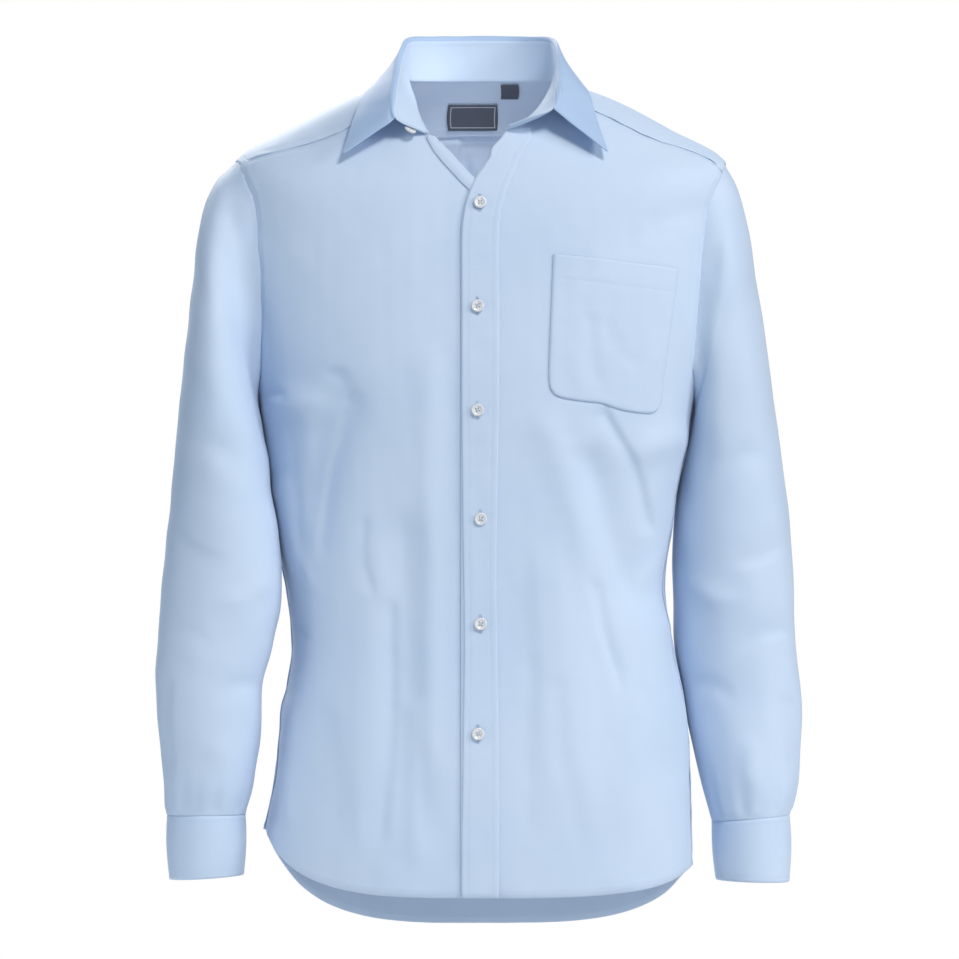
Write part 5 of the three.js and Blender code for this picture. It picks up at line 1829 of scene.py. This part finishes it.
@dataclass
class Buttons:
    """Four-hole buttons, each in the place of its plain node."""

    kit: ShirtKit
    radius: float = 5.8
    height: float = 2.4
    rim: float = 1.1
    dish: float = 0.8
    hole_radius: float = 0.62
    hole_offset: float = 1.25
    sides: int = 40
    names: tuple[str, ...] = (
        "button_front_1", "button_front_2", "button_front_3", "button_front_4", "button_front_5",
        "button_front_6", "button_band", "button_placket_left", "button_placket_right",
        "button_cuff_left", "button_cuff_right",
    )

    def button_mesh(self) -> bpy.types.Mesh:
        """Mesh of one button about its own axis, with its four holes cut through."""
        radius, height = self.radius, self.height
        floor = height - self.dish
        inner = radius - 2 * self.rim
        profile = [(0.0, 0.0), (radius - 0.9, 0.0), (radius - 0.3, 0.25), (radius, 0.9),
                   (radius - 0.12, height - 0.55), (radius - 0.45, height - 0.15),
                   (radius - 0.9, height), (radius - 1.4, height - 0.1), (inner, floor + 0.15),
                   (inner - 0.5, floor), (0.0, floor)]
        angles = np.linspace(0, 2 * np.pi, self.sides, endpoint=False)
        ring = np.stack([np.cos(angles), np.sin(angles)], axis=-1)
        vertices = [(0.0, 0.0, 0.0)]
        for r, z in profile[1:-1]:
            vertices += [(r * x, r * y, z) for x, y in ring]
        vertices.append((0.0, 0.0, floor))
        faces = []
        rings = len(profile) - 2
        for k in range(self.sides):
            following = (k + 1) % self.sides
            faces.append((0, 1 + following, 1 + k))
            for level in range(rings - 1):
                a, b = 1 + level * self.sides, 1 + (level + 1) * self.sides
                faces.append((a + k, a + following, b + following, b + k))
            a = 1 + (rings - 1) * self.sides
            faces.append((a + k, a + following, len(vertices) - 1))
        mesh = bpy.data.meshes.new("button")
        mesh.from_pydata([tuple(MM * part for part in v) for v in vertices], [], faces)
        body = bpy.data.objects.new("button_blank", mesh)
        bpy.context.scene.collection.objects.link(body)
        cutter = self.hole_cutter()
        cut = body.modifiers.new("holes", "BOOLEAN")
        cut.object = cutter
        cut.solver = "EXACT"
        shown = body.evaluated_get(bpy.context.evaluated_depsgraph_get())
        result = bpy.data.meshes.new_from_object(shown)
        bpy.data.objects.remove(body)
        bpy.data.objects.remove(cutter)
        result.polygons.foreach_set("use_smooth", np.ones(len(result.polygons), bool))
        return result

    def hole_cutter(self) -> bpy.types.Object:
        """Four pins that cut the holes."""
        sides = 12
        angles = np.linspace(0, 2 * np.pi, sides, endpoint=False)
        vertices, faces = [], []
        for sx in (-1, 1):
            for sy in (-1, 1):
                base = len(vertices)
                for z in (-1.0, self.height + 1.0):
                    vertices += [(MM * (sx * self.hole_offset + self.hole_radius * math.cos(a)),
                                  MM * (sy * self.hole_offset + self.hole_radius * math.sin(a)), MM * z)
                                 for a in angles]
                faces.append(tuple(base + k for k in reversed(range(sides))))
                faces.append(tuple(base + sides + k for k in range(sides)))
                for k in range(sides):
                    n = (k + 1) % sides
                    faces.append((base + k, base + n, base + sides + n, base + sides + k))
        mesh = bpy.data.meshes.new("holes")
        mesh.from_pydata(vertices, [], faces)
        cutter = bpy.data.objects.new("holes", mesh)
        bpy.context.scene.collection.objects.link(cutter)
        return cutter

    def frame_of(self, name: str) -> tuple[Array, Array]:
        """Foot and turn of a button, from its plain node.

        Args:
            name: the node's name.

        Returns:
            The foot in millimetres, and three rows: two directions across and the axis.
        """
        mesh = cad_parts[name].data
        points = np.array([vertex.co for vertex in mesh.vertices]) / MM
        points = points @ np.array(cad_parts[name].matrix_world)[:3, :3].T
        points = np.unique(np.round(points, 4), axis=0)
        middle = points.mean(axis=0)
        _, spread, rows = np.linalg.svd(points - middle)
        axis = rows[int(np.argmin(spread))]
        reach = (points - middle) @ axis
        far = np.linalg.norm(points - middle - reach[:, None] * axis, axis=1) > self.radius - 0.05
        hint = np.array([0.0, -1.0, 0.0]) if "front" in name else middle - np.array([0.0, 0.0, middle[2]])
        if "sleeve" in name or "cuff" in name or "placket" in name:
            hint = middle - np.array([math.copysign(252.0, middle[0]), 0.0, middle[2]])
        if axis @ hint < 0:
            axis, reach = -axis, -reach
        centre = points[far].mean(axis=0)
        centre = middle + axis * reach.min() + (centre - middle) - axis * ((centre - middle) @ axis)
        across = unit(np.cross([0.0, 0.0, 1.0], axis))
        return centre, np.stack([across, np.cross(axis, across), axis])

    def build(self) -> None:
        """Puts every button in place, sewn on with crossed thread, over its buttonhole."""
        blank = self.button_mesh()
        sewing = self.kit.sewing
        crossing, holes = [], []
        for name in self.names:
            foot, turn = self.frame_of(name)
            mesh = blank.copy()
            points = np.zeros(3 * len(mesh.vertices))
            mesh.vertices.foreach_get("co", points)
            tilt = 0.35 * math.sin(7.0 * foot[2])
            spin = np.array([[math.cos(tilt), math.sin(tilt), 0], [-math.sin(tilt), math.cos(tilt), 0],
                             [0, 0, 1]])
            placed = points.reshape(-1, 3) @ spin @ turn + foot * MM
            mesh.vertices.foreach_set("co", placed.ravel())
            mesh.update()
            mesh.materials.clear()
            mesh.materials.append(self.kit.pearl)
            obj = bpy.data.objects.new(f"{name}_pearl", mesh)
            bpy.context.scene.collection.objects.link(obj)
            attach(obj, ROOT)
            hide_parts(name)
            top = self.height - self.dish + THREAD_LIFT
            offset = self.hole_offset
            for sx in (-1, 1):
                local = np.array([[-sx * offset, -offset, top], [sx * offset, offset, top]])
                crossing.append(tuple(local @ spin @ turn + foot))
            upright = turn[1]
            if "band" not in name:
                cloth_point = foot - BUTTONHOLE_SINK * turn[2]
                holes += sewing.buttonhole(cloth_point, upright, turn[2], BUTTONHOLE_LENGTH)
        sewing.sew("button_threads", crossing, 0.5, 1.15)
        sewing.sew("buttonhole_stitches", holes, 0.3, 1.0)


@dataclass
class Labels:
    """Bare neck label and size tab inside the yoke."""

    kit: ShirtKit
    label: tuple[float, float, float, float] = (-30.0, 16.0, -32.0, -8.4)
    tab: tuple[float, float, float, float] = (19.8, 35.8, -3.0, 9.5)
    depth: float = -1.5
    thickness: float = 0.5

    def add_tag(self, name: str, node: str, box: tuple[float, float, float, float],
                finish: LabelFinish) -> None:
        """Builds one tag on the inside of the yoke.

        Args:
            name: name of the piece.
            node: the node that it replaces.
            box: left, right, low and high, seen from the front.
            finish: its finish.
        """
        left, right, low, high = box
        form = self.kit.form
        corners = form.seen([(left, low), (right, low), (left, high), (right, high)], True)
        u, v = np.linspace(0, 1, 25), np.linspace(0, 1, 17)
        places = patch(straight(corners[0], corners[1]), straight(corners[2], corners[3]),
                       straight(corners[0], corners[2]), straight(corners[1], corners[3]), u, v)
        cloth = ClothGrid(form.cloth(places, self.depth), -1)
        obj = build_shell(name, cloth, self.thickness)
        size = tuple(float(cloth.lengths(axis).max()) for axis in (0, 1))
        obj.data.materials.append(finish.material(size))
        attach(obj, ROOT)
        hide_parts(node)

    def build(self) -> None:
        """Builds both tags."""
        slate, pale = (0.066, 0.080, 0.120), (0.46, 0.50, 0.58)
        self.add_tag("neck_label_woven", "neck_label", self.label,
                     LabelFinish("label_woven", slate, pale, 3.0, 0.7))
        self.add_tag("size_tab_woven", "size_tab", self.tab,
                     LabelFinish("tab_woven", slate, slate, 0.8, 0.3))


@dataclass
class Studio:
    """Camera, soft lights, white surroundings and a pale floor."""

    camera_place: tuple[float, float, float] = (-0.0005, -6.0, -0.362)
    pixel_size: float = 0.00093
    picture_width: int = 959
    sensor: float = 36.0
    floor_z: float = -0.90
    floor_radius: float = 0.95
    fill_colour: Colour = (0.62, 0.82, 1.0)
    fill_strength: float = 0.30

    def add_camera(self) -> None:
        """Adds the camera at the photo's angle."""
        data = bpy.data.cameras.new("camera")
        data.sensor_fit = "HORIZONTAL"
        data.sensor_width = self.sensor
        data.lens = self.sensor * -self.camera_place[1] / (self.picture_width * self.pixel_size)
        data.clip_end = 50.0
        camera = bpy.data.objects.new("camera", data)
        camera.location = self.camera_place
        camera.rotation_euler = (math.pi / 2, 0.0, 0.0)
        bpy.context.scene.collection.objects.link(camera)
        bpy.context.scene.camera = camera

    def add_light(self, name: str, place: tuple[float, float, float], size: float, power: float,
                  colour: Colour, target: tuple[float, float, float] = (0.0, 0.0, -0.35)) -> None:
        """Adds a soft square light.

        Args:
            name: name of the light.
            place: where it stands.
            size: its width.
            power: its power in watts.
            colour: its colour.
            target: the point that it looks at, usually the chest.
        """
        data = bpy.data.lights.new(name, "AREA")
        data.size = size
        data.energy = power
        data.color = colour
        light = bpy.data.objects.new(name, data)
        light.location = place
        light.visible_camera = False
        aim = Vector(target) - Vector(place)
        light.rotation_euler = aim.to_track_quat("-Z", "Y").to_euler()
        bpy.context.scene.collection.objects.link(light)

    def add_floor(self) -> None:
        """Adds the plain pale floor, a thin disc."""
        sides, thickness = 96, 0.01
        angles = np.linspace(0, 2 * np.pi, sides, endpoint=False)
        rim = np.stack([np.cos(angles), np.sin(angles)], axis=-1) * self.floor_radius
        vertices = [(x, y, self.floor_z) for x, y in rim]
        vertices += [(x, y, self.floor_z - thickness) for x, y in rim]
        faces = [tuple(range(sides)), tuple(reversed(range(sides, 2 * sides)))]
        faces += [(k, k + sides, (k + 1) % sides + sides, (k + 1) % sides) for k in range(sides)]
        mesh = bpy.data.meshes.new("floor")
        mesh.from_pydata(vertices, [], faces)
        mesh.materials.append(FloorFinish("floor_pale", (0.86, 0.87, 0.88)).material())
        floor = bpy.data.objects.new("floor", mesh)
        bpy.context.scene.collection.objects.link(floor)

    def add_world(self) -> None:
        """Surrounds everything with white, and fills the shade with a cool light."""
        world = bpy.data.worlds.new("studio")
        world.use_nodes = True
        bpy.context.scene.world = world
        tree = world.node_tree
        fill = tree.nodes["Background"]
        fill.inputs["Color"].default_value = (*self.fill_colour, 1.0)
        fill.inputs["Strength"].default_value = self.fill_strength
        white = add_node(tree, "ShaderNodeBackground", Color=(1.0, 1.0, 1.0, 1.0), Strength=1.0)
        seen = tree.nodes.new("ShaderNodeLightPath").outputs["Is Camera Ray"]
        mix = tree.nodes.new("ShaderNodeMixShader")
        tree.links.new(seen, mix.inputs[0])
        tree.links.new(fill.outputs[0], mix.inputs[1])
        tree.links.new(white.outputs[0], mix.inputs[2])
        tree.links.new(mix.outputs[0], tree.nodes["World Output"].inputs["Surface"])
        bpy.context.scene.view_settings.view_transform = "Standard"

    def build(self) -> None:
        """Builds the studio."""
        self.add_camera()
        self.add_light("key", (2.0, -3.8, 4.0), 1.3, 215.0, (1.0, 0.91, 0.80))
        self.add_light("front", (0.5, -5.0, -1.4), 2.2, 34.0, (1.0, 0.94, 0.86))
        self.add_light("side_right", (3.5, -1.7, 1.2), 1.1, 70.0, (1.0, 0.93, 0.85))
        self.add_light("side_left", (-3.6, -1.6, -0.6), 2.0, 30.0, (1.0, 0.95, 0.90))
        self.add_light("behind", (-1.4, 3.6, 2.4), 1.6, 150.0, (1.0, 0.95, 0.88))
        self.add_light("inside", (-0.01, -0.035, -0.19), 0.09, 0.12, (1.0, 0.94, 0.86), (0.0, 0.085, -0.03))
        self.add_light("neck", (-0.015, -0.045, 0.015), 0.04, 0.026, (1.0, 0.94, 0.86), (0.0, 0.09, -0.03))
        self.add_floor()
        self.add_world()


def main() -> None:
    """Builds the shirt piece by piece, then the studio."""
    form = BodyForm(LEVELS)
    cloth = ClothFinish("poplin_blue", (0.530, 0.655, 0.845), (0.480, 0.612, 0.818))
    fused = ClothFinish("poplin_fused", (0.522, 0.648, 0.842), (0.472, 0.605, 0.814), wave_depth=0.15)
    # The collar leaf wears a darker copy of the same poplin: painted shade that darkens the whole leaf.
    leaf = ClothFinish("poplin_leaf_painted_shade", (0.390, 0.532, 0.770), (0.350, 0.492, 0.745), wave_depth=0.15)
    pearl = PearlFinish("button_pearl", (0.74, 0.76, 0.80), (0.60, 0.64, 0.71))
    sewing = Sewing(ThreadFinish("thread_blue", (0.50, 0.62, 0.82)))
    kit = ShirtKit(form, cloth.material(), fused.material(), leaf.material(), pearl.material(), sewing)
    body = Body(kit)
    body.build()
    LOG.info("body done")
    Pocket(kit).build()
    LOG.info("pocket done")
    Collar(kit, body).build()
    LOG.info("collar done")
    for side in Side:
        SleeveSet(kit, body, side).build()
        LOG.info("sleeve %s done", side.word)
    Buttons(kit).build()
    LOG.info("buttons done")
    Labels(kit).build()
    LOG.info("labels done")
    Studio().build()


if __name__ == "__main__":
    main()
